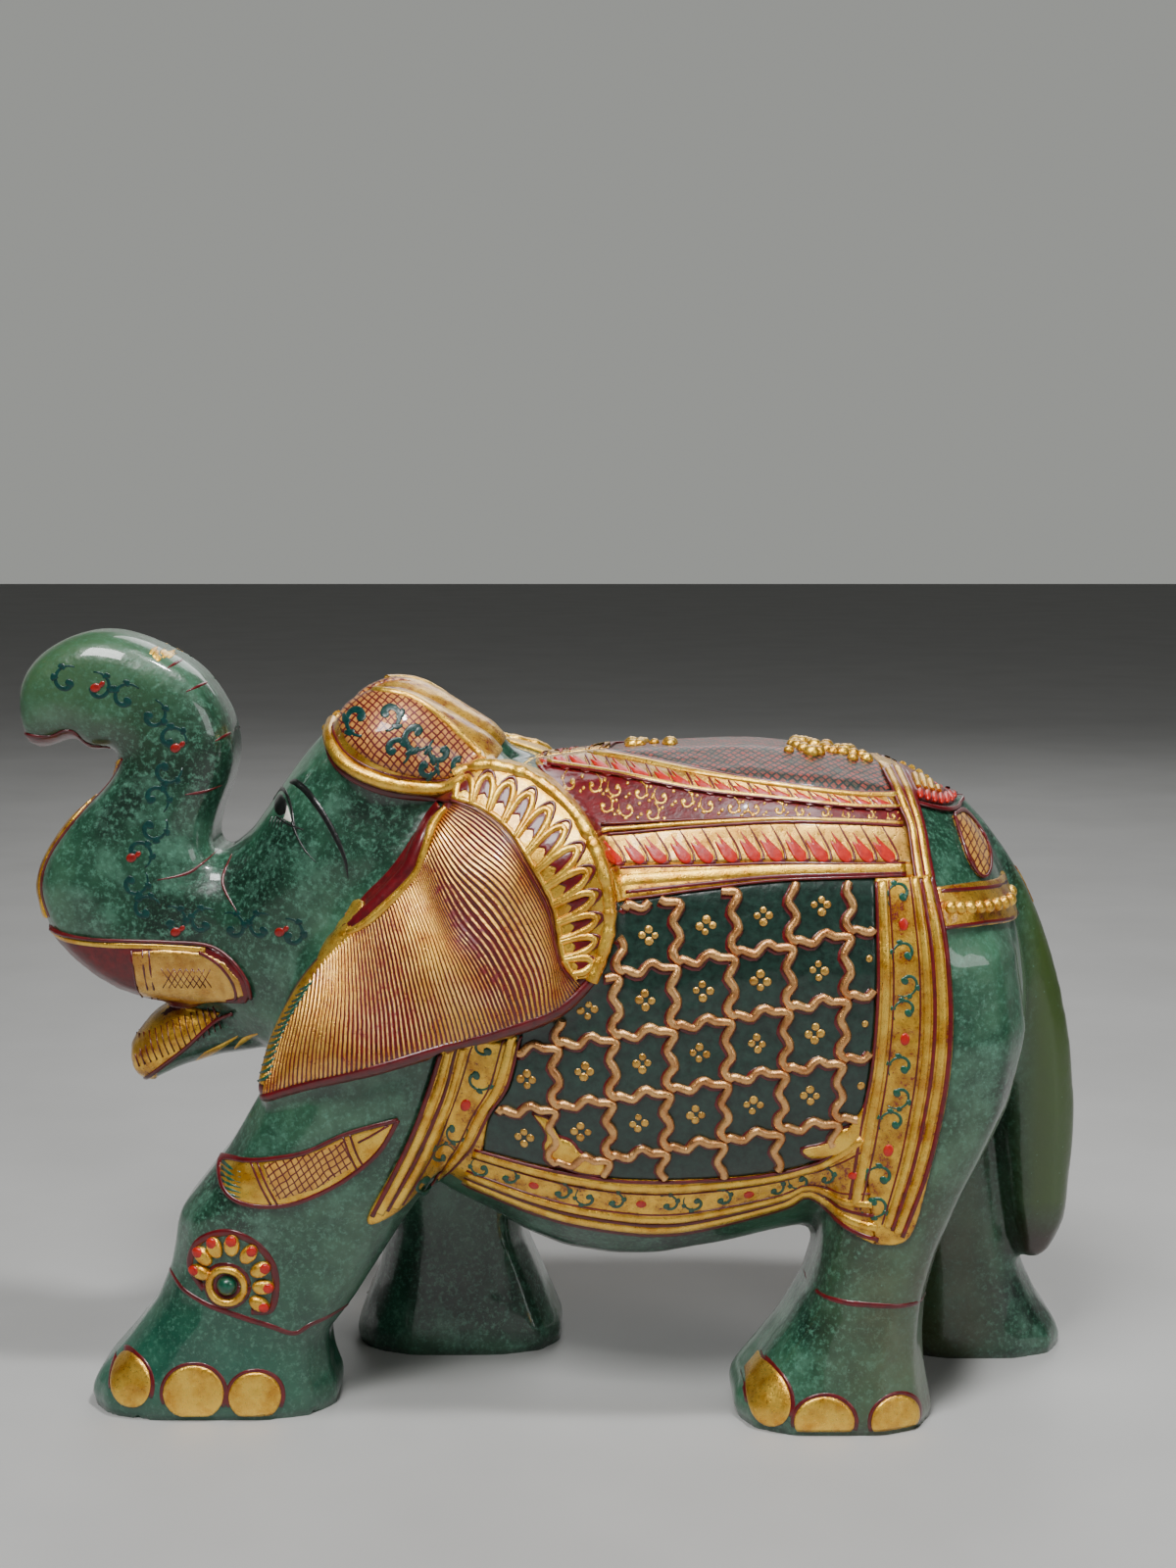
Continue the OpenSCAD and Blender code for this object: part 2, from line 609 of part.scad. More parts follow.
// ---- legs: the right legs stand further back, and their ornament moves with them ----
armlet_shift = [18, 1];
rosette_shift = [27, 1];
module armlets() {
  leaf = [
    [-20.2, 42.3], [-26.8, 40.4], [-32.3, 37.9], [-37.4, 36.6], [-44, 35.3], [-44, 32.9],
    [-41.5, 30.6], [-35.6, 30.4], [-31, 32], [-26.5, 34.6], [-22.7, 38]
  ];
  color("goldenrod") coat("leg", 0, coat_t) {
    outward(-1, 6) polygon(put(leaf));
    outward(1, 6) polygon(put([for (p = leaf) p + armlet_shift]));
  }
}
module rosette_shape() {
  ring_d = 0.5 * rosette_d;
  petal_d = 0.3 * rosette_d;
  for (i = [0 : petals - 1]) let (a = mix(-50, 190, i / (petals - 1)))
    translate([cos(a), sin(a)] * (rosette_d - petal_d) / 2) circle(d = petal_d, $fn = 8);
  difference() {
    circle(d = ring_d, $fn = 12);
    circle(d = 0.6 * ring_d, $fn = 8);
  }
  circle(d = 0.4 * ring_d, $fn = 6);
}
module knee_rosettes() {
  at = [-43, 19.4];
  color("gold") coat("leg", 0, relief_t) {
    outward(left, 6) translate(put([at])[0]) rosette_shape();
    outward(right, 6) translate(put([at + rosette_shift])[0]) rosette_shape();
  }
}
anklet_lines = [
  [-1, [[-55, 20], [-48, 16.8], [-41.7, 14.4], [-34.6, 11.8], [-32, 13], [-26, 14.4]]],
  [-1, [[28, 18.4], [40, 17.8], [54, 16.8]]],
  [1, [[-30, 11], [-24, 9.8], [-8, 10], [2, 11]]],
  [1, [[48, 14.6], [60, 13.6], [66, 14], [70, 15.4]]]
];
module anklets() {
  color("maroon") coat("leg", 0, line_t)
    for (item = anklet_lines) outward(item[0], 6)
      polygon(ribbon(put(item[1]), line_w));
}
// side, middle [x, z], half width and half height of each nail
nails = [
  [-1, -57, 5, 3, 3.4], [-1, -48.2, 4, 4.1, 3.8], [-1, -40, 3.4, 3.5, 3.4],
  [-1, 29.2, 4.4, 2.8, 3.6], [-1, 36.4, 2, 4, 3.4], [-1, 46, 2, 3.4, 3.2],
  [1, -25, 4, 3, 3.4], [1, -16.6, 3, 3.8, 3.4], [1, -8.6, 2.6, 3.2, 3.2],
  [1, 53.4, 3.6, 2.8, 3.4], [1, 60.6, 2.4, 3.8, 3.4], [1, 68.4, 2, 3.2, 3.2]
];
nail_floor = 0.6;
module toenails() {
  color("gold") coat("leg", 0, coat_t)
    for (n = nails) outward(n[0], 6) intersection() {
      translate([n[1] * kx, n[2] * kz]) scale([n[3], n[4]]) circle(r = 1, $fn = 7);
      translate([-length, nail_floor]) square([2 * length, 20]);
    }
}

stone_elephant();
cloth_field(left);  // cloth_field_left
cloth_field(right);  // cloth_field_right
cloth_border(left);  // cloth_border_left
cloth_border(right);  // cloth_border_right
gold_rule(left);  // gold_rule_left
gold_rule(right);  // gold_rule_right
lower_leaf_band(left);  // lower_leaf_band_left
lower_leaf_band(right);  // lower_leaf_band_right
scroll_band(left);  // scroll_band_left
scroll_band(right);  // scroll_band_right
upper_leaf_band(left);  // upper_leaf_band_left
upper_leaf_band(right);  // upper_leaf_band_right
spine_panel();
spine_beads();
rear_band();
trellis(left);  // trellis_left
trellis(right);  // trellis_right
trellis_flowers(left);  // trellis_flowers_left
trellis_flowers(right);  // trellis_flowers_right
crupper_band();
crupper_pearls();
rump_fringe();
rump_leaves();
ear_gilding(left);  // ear_gilding_left
ear_gilding(right);  // ear_gilding_right
ear_scallops(left);  // ear_scallops_left
ear_scallops(right);  // ear_scallops_right
ear_rim(left);  // ear_rim_left
ear_rim(right);  // ear_rim_right
cap_ground(left);  // cap_ground_left
cap_ground(right);  // cap_ground_right
cap_rim(left);  // cap_rim_left
cap_rim(right);  // cap_rim_right
crest_beads();
eyes();
eyebrows();
tusk_band(left);  // tusk_band_left
tusk_band(right);  // tusk_band_right
jaw_gilding();
trunk_front_gilding();
trunk_tip_lips();
armlets();
knee_rosettes();
anklets();
toenails();
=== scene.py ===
import math
import random

import bmesh
import bpy
import numpy as np
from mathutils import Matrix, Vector, noise
from mathutils.bvhtree import BVHTree


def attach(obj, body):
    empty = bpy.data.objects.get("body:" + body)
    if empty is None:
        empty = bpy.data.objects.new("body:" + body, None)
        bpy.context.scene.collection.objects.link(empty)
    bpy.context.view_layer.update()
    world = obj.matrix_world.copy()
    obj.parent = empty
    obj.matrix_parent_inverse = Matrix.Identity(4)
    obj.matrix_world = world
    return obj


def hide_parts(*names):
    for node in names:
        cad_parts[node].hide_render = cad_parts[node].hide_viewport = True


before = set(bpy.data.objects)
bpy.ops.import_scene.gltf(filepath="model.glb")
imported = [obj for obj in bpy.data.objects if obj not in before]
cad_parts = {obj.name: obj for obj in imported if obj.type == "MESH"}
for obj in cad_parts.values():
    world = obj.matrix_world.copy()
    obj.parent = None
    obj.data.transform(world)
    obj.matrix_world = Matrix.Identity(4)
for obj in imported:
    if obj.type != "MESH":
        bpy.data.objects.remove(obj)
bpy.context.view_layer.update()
MM = 0.001

# ---- Carved stone ----
# One block of dark green aventurine, carved and ground by hand, then polished and varnished.
# The whole animal is one piece: body, legs, head, ears, trunk and tail.
GRAIN = 0.76 * MM
SOLE_DEPTH = 0.4 * MM
GRINDING_ROUNDS = 14
GRINDING_PUSHES = [0.6, -0.36]
HAND_CUT_DEPTH = 0.22 * MM
HAND_CUTS_PER_METRE = 90


def place(name, mesh):
    piece = bpy.data.objects.new(name, mesh)
    bpy.context.scene.collection.objects.link(piece)
    return piece


def settle(piece):
    """Turns a piece and its modifiers into a plain mesh."""
    depsgraph = bpy.context.evaluated_depsgraph_get()
    mesh = bpy.data.meshes.new_from_object(piece.evaluated_get(depsgraph))
    piece.modifiers.clear()
    piece.data = mesh
    return mesh


def read(mesh, count, source, field, kind=np.float64, width=3):
    flat = np.empty(count * width, dtype=kind)
    source.foreach_get(field, flat)
    return flat.reshape(-1, width)


def ground_smooth(points, edges, rounds):
    """Grinds off the facets without shrinking the block."""
    count = len(points)
    degree = np.bincount(edges.ravel(), minlength=count)[:, None]
    for push in GRINDING_PUSHES * rounds:
        near = np.stack([
            np.bincount(edges[:, 0], points[edges[:, 1], axis], count)
            + np.bincount(edges[:, 1], points[edges[:, 0], axis], count)
            for axis in range(3)], axis=1)
        points = points + push * (near / degree - points)
    return points


stone_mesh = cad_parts["stone_elephant"].data.copy()
stone_mesh.materials.clear()
merger = bmesh.new()
merger.from_mesh(stone_mesh)
bmesh.ops.remove_doubles(merger, verts=merger.verts, dist=0.001 * MM)
merger.to_mesh(stone_mesh)
merger.free()
stone = place("carved_stone", stone_mesh)
grinding = stone.modifiers.new("grinding", "REMESH")
grinding.mode = "VOXEL"
grinding.voxel_size = GRAIN
stone_mesh = settle(stone)

stone_points = read(stone_mesh, len(stone_mesh.vertices), stone_mesh.vertices, "co")
stone_edges = read(stone_mesh, len(stone_mesh.edges), stone_mesh.edges, "vertices", np.int32, 2)
on_soles = stone_points[:, 2] < SOLE_DEPTH
stone_points = ground_smooth(stone_points, stone_edges, GRINDING_ROUNDS)
stone_mesh.vertices.foreach_set("co", stone_points.ravel())
stone_mesh.update()
normals = read(stone_mesh, len(stone_mesh.vertices), stone_mesh.vertices, "normal")
hand_cut = np.array([noise.noise(Vector(p) * HAND_CUTS_PER_METRE) for p in stone_points])
stone_points += normals * (HAND_CUT_DEPTH * hand_cut)[:, None]
stone_points[on_soles, 2] = 0
stone_points[:, 2] = np.maximum(stone_points[:, 2], 0)
stone_mesh.vertices.foreach_set("co", stone_points.ravel())
stone_mesh.update()
stone_mesh.shade_smooth()
stone_normals = read(stone_mesh, len(stone_mesh.vertices), stone_mesh.vertices, "normal")
stone_mesh.calc_loop_triangles()
stone_faces = read(stone_mesh, len(stone_mesh.loop_triangles), stone_mesh.loop_triangles,
                   "vertices", np.int32, 3)


def put(tree, kind, values=(), **settings):
    """A node with its settings, and a value or a link on each input named."""
    made = tree.nodes.new(kind)
    for key, value in settings.items():
        setattr(made, key, value)
    for key, value in dict(values).items():
        if isinstance(value, bpy.types.NodeSocket):
            tree.links.new(value, made.inputs[key])
        else:
            made.inputs[key].default_value = value
    return made


def ramp(tree, value, stops):
    made = put(tree, "ShaderNodeValToRGB", {"Fac": value})
    ends = made.color_ramp.elements
    while len(ends) < len(stops):
        ends.new(0.5)
    for end, (position, colour) in zip(ends, stops):
        end.position = position
        end.color = (*colour, 1)
    return made.outputs["Color"]


def blend_colours(tree, mask, under, over):
    made = put(tree, "ShaderNodeMix", {0: mask}, data_type="RGBA")
    for index, colour in ((6, under), (7, over)):
        if isinstance(colour, bpy.types.NodeSocket):
            tree.links.new(colour, made.inputs[index])
        else:
            made.inputs[index].default_value = (*colour, 1)
    return made.outputs[2]


def grey(low, high, dark=0, light=1):
    return [(low, (dark, dark, dark)), (high, (light, light, light))]


def finish_of(name, **constants):
    """A new finish whose shader has the constants given, with its coordinates in metres."""
    made = bpy.data.materials.new(name)
    made.use_nodes = True
    tree = made.node_tree
    shader = tree.nodes["Principled BSDF"]
    for key, value in constants.items():
        shader.inputs[key.replace("_", " ")].default_value = value
    spot = put(tree, "ShaderNodeTexCoord").outputs["Object"]
    return made, tree, shader, spot


def grain_of(tree, spot, size, detail=4.0, rough=0.55):
    """Noise whose features are about `size` metres across."""
    return put(tree, "ShaderNodeTexNoise",
               {"Vector": spot, "Scale": 1 / size, "Detail": detail,
                "Roughness": rough}).outputs["Fac"]


def wire(tree, *pairs):
    for output, socket in pairs:
        tree.links.new(output, socket)


def bumped(tree, shader, height, depth, strength=1.0):
    bump = put(tree, "ShaderNodeBump", {"Height": height, "Distance": depth, "Strength": strength})
    tree.links.new(bump.outputs["Normal"], shader.inputs["Normal"])


def where(tree, spot, axis, low, high):
    """0 below `low` and 1 above `high` along one axis."""
    parts = put(tree, "ShaderNodeSeparateXYZ", {"Vector": spot})
    return put(tree, "ShaderNodeMapRange",
               {"Value": parts.outputs[axis], "From Min": low, "From Max": high}).outputs["Result"]


def calc(tree, operation, *values):
    return put(tree, "ShaderNodeMath", dict(enumerate(values)), operation=operation).outputs[0]


def product(tree, a, b):
    return calc(tree, "MULTIPLY", a, b)


aventurine, tree, shader, spot = finish_of(
    "aventurine", Roughness=0.38, Coat_Weight=0.8, Coat_Roughness=0.04, IOR=1.5,
    Subsurface_Weight=0.1, Subsurface_Radius=(0.3, 1.0, 0.6), Subsurface_Scale=0.004)
clouds = grain_of(tree, spot, 17 * MM, 5, 0.6)
body = ramp(tree, clouds, [(0.36, (0.003, 0.019, 0.010)), (0.5, (0.013, 0.060, 0.031)),
                           (0.64, (0.050, 0.140, 0.078))])
crystals = grain_of(tree, spot, 0.7 * MM, 4, 0.75)
body = blend_colours(tree, ramp(tree, crystals, grey(0.50, 0.68, light=0.8)), body,
                     (0.085, 0.23, 0.155))
wisps = grain_of(tree, spot, 6 * MM, 6, 0.7)
body = blend_colours(tree, ramp(tree, wisps, grey(0.52, 0.72, light=0.6)),
                     body, (0.10, 0.25, 0.17))
low_feet = product(tree, where(tree, spot, "Z", 24 * MM, 8 * MM),
                   where(tree, spot, "X", -20 * MM, -40 * MM))
low_feet = product(tree, low_feet, ramp(tree, crystals, grey(0.3, 0.7, 0.9, 0.35)))
body = blend_colours(tree, low_feet, body, (0.003, 0.085, 0.050))
tail_side = where(tree, spot, "X", 64 * MM, 69 * MM)
body = blend_colours(tree, product(tree, tail_side, where(tree, spot, "Z", 15 * MM, 24 * MM)),
                     body, (0.045, 0.082, 0.016))
tail_end = product(tree, where(tree, spot, "Z", 24 * MM, 18 * MM),
                   where(tree, spot, "Z", 14 * MM, 16 * MM))
body = blend_colours(tree, product(tree, tail_side, tail_end), body, (0.030, 0.013, 0.006))
trunk_tip = product(tree, where(tree, spot, "X", -44 * MM, -66 * MM),
                    where(tree, spot, "Z", 84 * MM, 100 * MM))
trunk_tip = product(tree, trunk_tip, ramp(tree, crystals, grey(0.3, 0.7, 1, 0.5)))
body = blend_colours(tree, trunk_tip, body, (0.052, 0.118, 0.050))
hind = product(tree, where(tree, spot, "X", 34 * MM, 44 * MM),
               where(tree, spot, "Z", 50 * MM, 18 * MM))
stained = product(tree, hind, where(tree, spot, "X", 66 * MM, 60 * MM))
body = blend_colours(tree, product(tree, stained, wisps), body, (0.075, 0.060, 0.014))
flecks = put(tree, "ShaderNodeTexVoronoi", {"Vector": spot, "Scale": 1 / (1.5 * MM)})
fleck_mask = ramp(tree, flecks.outputs["Distance"], grey(0.04, 0.09, 0.4, 0))
body = blend_colours(tree, fleck_mask, body, (0.16, 0.34, 0.26))
wire(tree, (body, shader.inputs["Base Color"]))
bumped(tree, shader, grain_of(tree, spot, 4.5 * MM, 4, 0.55), 0.34 * MM)
stone_mesh.materials.append(aventurine)
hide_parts("stone_elephant")
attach(stone, "root")

# ---- Saddle cloth: painted ground and gilded bands ----
# The cloth isn't fabric: it is gesso and paint laid on the polished stone, a little proud of it,
# with a dark green field, gilded borders, two bands of leaves and a crimson band of scrolls.
LEFT = -1
RIGHT = 1
BOTH = 0
NAMED_SIDES = ((LEFT, "left"), (RIGHT, "right"))
PAINT_RISE = 0.35
BAND_RISE = 0.5
GESSO_RISE = 0.6
COAT_ROOT = 0.2
TURNED_AWAY = -0.25
BRUSH_MARKS_PER_METRE = 700
BRUSH_MARK_DEPTH = 0.05
BATCH = 20000
GRAIN_OF_GOLD = 0.1 * MM


def smooth_path(points, steps=6):
    """A soft curve through a few points, in millimetres."""
    rows = [np.asarray(p, float) for p in points]
    if len(rows) < 3:
        return np.array([rows[0] + (rows[-1] - rows[0]) * k / steps for k in range(steps + 1)])
    done = []
    for k in range(len(rows) - 1):
        p, q, r, s = rows[max(k - 1, 0)], rows[k], rows[k + 1], rows[min(k + 2, len(rows) - 1)]
        for t in np.arange(steps) / steps:
            done.append(0.5 * (2 * q + (r - p) * t + (2 * p - 5 * q + 4 * r - s) * t ** 2
                               + (3 * q - p - 3 * r + s) * t ** 3))
    return np.array(done + [rows[-1]])


def along(path, share):
    """The point at a share of a path's length."""
    run = np.concatenate([[0], np.cumsum(np.linalg.norm(np.diff(path, axis=0), axis=1))])
    at = np.asarray(share) * run[-1]
    return np.stack([np.interp(at, run, path[:, 0]), np.interp(at, run, path[:, 1])], axis=-1)


def depth_inside(points, outline):
    """How far each point is inside an outline: negative outside it."""
    start = np.asarray(outline, float)
    end = np.roll(start, -1, axis=0)
    depth = np.empty(len(points))
    for low in range(0, len(points), BATCH):
        p = points[low:low + BATCH, None, :]
        run = end - start
        share = np.clip(((p - start) * run).sum(-1) / np.maximum((run ** 2).sum(-1), 1e-12), 0, 1)
        gap = np.linalg.norm(p - start - share[..., None] * run, axis=-1).min(axis=1)
        above = (start[:, 1] > p[..., 1]) != (end[:, 1] > p[..., 1])
        climb = np.where(above, end[:, 1] - start[:, 1], 1)
        cross = start[:, 0] + (p[..., 1] - start[:, 1]) * (end[:, 0] - start[:, 0]) / climb
        odd = (above & (p[..., 0] < cross)).sum(axis=1) % 2 == 1
        depth[low:low + BATCH] = np.where(odd, gap, -gap)
    return depth


def split_in_four(points, normals, faces):
    """The same surface with four faces for each one."""
    sides = np.sort(np.concatenate([faces[:, [0, 1]], faces[:, [1, 2]], faces[:, [2, 0]]]), axis=1)
    pairs, which = np.unique(sides, axis=0, return_inverse=True)
    which = which.reshape(3, -1) + len(points)
    a, b, c = faces.T
    ab, bc, ca = which
    points = np.concatenate([points, points[pairs].mean(axis=1)])
    normals = np.concatenate([normals, normals[pairs].mean(axis=1)])
    faces = np.concatenate([np.stack(f, axis=1) for f in
                            ((a, ab, ca), (ab, b, bc), (ca, bc, c), (ab, bc, ca))])
    return points, normals, faces


def coat(name, outline, side, rise, finish, nodes, slot, reach=6.0, without=(), edge=0.5):
    """A coat on the part of the stone inside an outline in side view, in millimetres."""
    flat = stone_points[:, [0, 2]] / MM
    box = np.asarray(outline)
    near = ((flat > box.min(axis=0) - 2) & (flat < box.max(axis=0) + 2)).all(axis=1)
    if side != BOTH:
        near &= side * stone_points[:, 1] / MM > reach - 2
    faces = stone_faces[near[stone_faces].all(axis=1)]
    used, faces = np.unique(faces, return_inverse=True)
    points, normals, faces = stone_points[used], stone_normals[used], faces.reshape(-1, 3)
    points, normals, faces = split_in_four(points, normals, faces)
    flat = points[:, [0, 2]] / MM
    depth = depth_inside(flat, outline)
    for other in without:
        depth = np.minimum(depth, -depth_inside(flat, other))
    if side != BOTH:
        depth = np.minimum(depth, side * points[:, 1] / MM - reach)
        depth = np.where(side * normals[:, 1] < TURNED_AWAY, -1, depth)
    kept, spots, bearings, depths, cuts = [], list(points), list(normals), list(depth), {}

    def cut(i, j):
        key = (min(i, j), max(i, j))
        if key not in cuts:
            share = depth[i] / (depth[i] - depth[j])
            cuts[key] = len(spots)
            spots.append(points[i] + (points[j] - points[i]) * share)
            bearings.append(normals[i] + (normals[j] - normals[i]) * share)
            depths.append(0)
        return cuts[key]

    inside = depth > 0
    whole = inside[faces].sum(axis=1)
    kept.extend(map(tuple, faces[whole == 3]))
    for face in faces[(whole > 0) & (whole < 3)]:
        ring = []
        for k in range(3):
            i, j = face[k], face[(k + 1) % 3]
            if inside[i]:
                ring.append(i)
            if inside[i] != inside[j]:
                ring.append(cut(i, j))
        kept.append((ring[0], ring[1], ring[2]))
        if len(ring) == 4:
            kept.append((ring[0], ring[2], ring[3]))
    kept = np.array(kept)
    used, kept = np.unique(kept, return_inverse=True)
    kept = kept.reshape(-1, 3)
    spots, bearings = np.array(spots)[used], np.array(bearings)[used]
    depths = np.array(depths)[used]
    bearings /= np.linalg.norm(bearings, axis=1)[:, None]
    shoulder = np.sqrt(1 - (1 - np.clip(depths / edge, 0, 1)) ** 2)
    ripple = np.array([noise.noise(Vector(p) * BRUSH_MARKS_PER_METRE) for p in spots])
    height = (rise * (0.5 + 0.5 * shoulder) + BRUSH_MARK_DEPTH * ripple * shoulder) * MM
    top = spots + bearings * height[:, None]
    under = spots - bearings * COAT_ROOT * MM
    count = len(spots)
    sides = np.concatenate([kept[:, [0, 1]], kept[:, [1, 2]], kept[:, [2, 0]]])
    seen = {tuple(s) for s in sides}
    skirt = [(b, a, a + count, b + count) for a, b in seen if (b, a) not in seen]
    mesh = bpy.data.meshes.new(name)
    mesh.from_pydata(np.concatenate([top, under]).tolist(), [],
                     kept.tolist() + (kept[:, ::-1] + count).tolist() + skirt)
    mesh.materials.append(finish)
    mesh.shade_smooth()
    piece = place(name, mesh)
    if nodes:
        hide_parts(*nodes)
    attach(piece, "root")
    return piece


def effect(name, inputs, outputs):
    """A shader node group with named inputs, each with its starting value, and named outputs."""
    group = bpy.data.node_groups.new(name, "ShaderNodeTree")
    for key, value in inputs:
        kind = {3: "NodeSocketVector", 4: "NodeSocketColor"}.get(np.size(value), "NodeSocketFloat")
        group.interface.new_socket(key, in_out="INPUT", socket_type=kind).default_value = value
    for key, kind in outputs:
        group.interface.new_socket(key, in_out="OUTPUT", socket_type=kind)
    return group, put(group, "NodeGroupInput"), put(group, "NodeGroupOutput")


leaf_gold, leaf_in, leaf_out = effect(
    "brushed gold paint",
    [("Spot", (0, 0, 0)), ("Light gold", (0.95, 0.55, 0.06, 1)),
     ("Deep gold", (0.45, 0.17, 0.010, 1)), ("Ground", (0.24, 0.02, 0.015, 1)), ("Wear", 0.3)],
    [("Colour", "NodeSocketColor"), ("Gold", "NodeSocketFloat"), ("Roughness", "NodeSocketFloat"),
     ("Height", "NodeSocketFloat")])
sparkle = grain_of(leaf_gold, leaf_in.outputs["Spot"], 0.35 * MM, 3, 0.7)
patches = grain_of(leaf_gold, leaf_in.outputs["Spot"], 2.4 * MM, 4, 0.6)
mixed = put(leaf_gold, "ShaderNodeMix", {0: ramp(leaf_gold, patches, grey(0.35, 0.62)),
                                         6: leaf_in.outputs["Deep gold"],
                                         7: leaf_in.outputs["Light gold"]},
            data_type="RGBA").outputs[2]
worn = calc(leaf_gold, "ADD", sparkle, patches)
threshold = calc(leaf_gold, "ADD", leaf_in.outputs["Wear"], 0.55)
bare = put(leaf_gold, "ShaderNodeMapRange",
           {"Value": worn, "From Min": threshold,
            "From Max": calc(leaf_gold, "ADD", threshold, -0.12)}).outputs["Result"]
coloured = put(leaf_gold, "ShaderNodeMix", {0: bare, 6: mixed, 7: leaf_in.outputs["Ground"]},
               data_type="RGBA").outputs[2]
gold_share = put(leaf_gold, "ShaderNodeMapRange",
                 {"Value": bare, "To Min": 0.85, "To Max": 0.0}).outputs["Result"]
gold_rough = put(leaf_gold, "ShaderNodeMapRange",
                 {"Value": sparkle, "From Min": 0.3, "From Max": 0.7, "To Min": 0.22,
                  "To Max": 0.46}).outputs["Result"]
wire(leaf_gold, (coloured, leaf_out.inputs["Colour"]), (gold_share, leaf_out.inputs["Gold"]),
     (gold_rough, leaf_out.inputs["Roughness"]), (sparkle, leaf_out.inputs["Height"]))


def gilding(name, wear=0.3, light=(0.95, 0.55, 0.06), deep=(0.45, 0.17, 0.010),
            ground=(0.16, 0.006, 0.006)):
    """Gold paint brushed over a coloured ground, under clear varnish."""
    made, tree, shader, spot = finish_of(name, Coat_Weight=0.6, Coat_Roughness=0.08)
    gold = put(tree, "ShaderNodeGroup", {}, node_tree=leaf_gold)
    for key, value in (("Light gold", (*light, 1)), ("Deep gold", (*deep, 1)),
                       ("Ground", (*ground, 1)), ("Wear", wear)):
        gold.inputs[key].default_value = value
    wire(tree, (spot, gold.inputs["Spot"]), (gold.outputs["Colour"], shader.inputs["Base Color"]),
         (gold.outputs["Gold"], shader.inputs["Metallic"]),
         (gold.outputs["Roughness"], shader.inputs["Roughness"]))
    bumped(tree, shader, gold.outputs["Height"], GRAIN_OF_GOLD, 0.8)
    return made


def lacquer(name, dark, light, size=1.2, coat_share=0.5):
    """Enamel laid by brush, a little uneven in colour and level, under clear varnish."""
    made, tree, shader, spot = finish_of(name, Roughness=0.35, Coat_Weight=coat_share,
                                         Coat_Roughness=0.06)
    uneven = grain_of(tree, spot, size * MM, 5, 0.65)
    wire(tree, (ramp(tree, uneven, [(0.32, dark), (0.68, light)]), shader.inputs["Base Color"]))
    bumped(tree, shader, grain_of(tree, spot, 0.5 * MM, 3, 0.6), 0.05 * MM)
    return made


border_gold = gilding("border_gold", wear=0.34)
bright_gold = gilding("bright_gold", wear=0.18, light=(1.0, 0.62, 0.08), deep=(0.70, 0.32, 0.02))
pale_gold = gilding("pale_gold", wear=0.22, light=(0.82, 0.48, 0.10), deep=(0.52, 0.24, 0.035),
                    ground=(0.30, 0.05, 0.01))
crimson = lacquer("crimson_enamel", (0.070, 0.0006, 0.003), (0.17, 0.0012, 0.005), coat_share=0.35)
dark_red = lacquer("dark_red_line", (0.060, 0.0010, 0.0035), (0.14, 0.002, 0.006))
bright_red = lacquer("bright_red_enamel", (0.36, 0.003, 0.001), (0.62, 0.016, 0.003), 0.8, 0.3)
leaf_green = lacquer("green_enamel", (0.001, 0.042, 0.020), (0.004, 0.10, 0.055), 0.6)
cloth_green = lacquer("dark_green_ground", (0.0025, 0.012, 0.008), (0.012, 0.042, 0.030), 0.9)

field_top = [(-4, 71), (9, 71.6), (20, 73), (30, 74.1), (42.5, 74.4)]
rule_top = [(-4, 75), (10, 76), (20, 76.2), (30, 76.4), (47.6, 76)]
leaf_top = [(-4, 78.6), (10, 79.9), (20, 80.8), (30, 81.3), (40, 81), (47.2, 80.4)]
scroll_top = [(-6, 87.6), (0, 87.2), (10, 86.3), (20, 84.8), (30, 83.8), (40, 82.7), (46.5, 82.4)]
panel_edge = [(-2, 89.6), (10, 88.6), (20, 87.2), (30, 85.8), (40, 84.5), (45.9, 84.2)]
field_rear = [(42.5, 74.4), (42.6, 60), (42, 50), (41, 42)]
field_foot = [(41, 42), (36, 37), (29.5, 35), (20, 34.3), (10, 34.2), (0, 35.5), (-9, 37)]
field_front = [(-9, 37), (-8, 42.5), (-5.3, 47), (-4, 53)]
hem = [(-14, 53), (-17, 44), (-19.4, 38), (-24.6, 28), (-20.8, 28.8), (-15.5, 33), (-9.7, 30.5),
       (0, 27.3), (10, 25.4), (15, 25), (20, 25.6), (31, 29), (34.5, 31), (39.5, 27.5), (43, 26)]
rear_inner = [(40, 94), (44.6, 88), (45.9, 84.2), (46.5, 82.4), (47.2, 80.4), (47.6, 76),
              (47.8, 74.4)]
rear_outer = [(43, 26), (47.4, 27), (50, 36), (52.1, 46), (52.8, 56), (52, 66), (50, 76),
              (49.4, 81), (48.6, 86), (44, 94)]
ear_edge = [(-13.5, 84.5), (-9.5, 89), (-5.5, 88.4), (-1.5, 87), (4.5, 82), (7.6, 76), (8.6, 69.5),
            (6.8, 63), (1.5, 57.5), (-7, 54), (-15, 51.8), (-23, 49.3), (-30, 47.2), (-35.2, 45.4),
            (-38.6, 44)]
ear_root = [(-39, 47), (-37.4, 51.5), (-35, 57), (-32.5, 61), (-29.5, 64.5), (-26.5, 68),
            (-24, 71), (-21.5, 73.5), (-19.5, 76), (-17.5, 79), (-15.5, 81.5), (-14.5, 83.5)]
ear_outline = np.concatenate([smooth_path(ear_edge), smooth_path(ear_root)])


def closed(*runs):
    return np.concatenate([smooth_path(run) for run in runs])


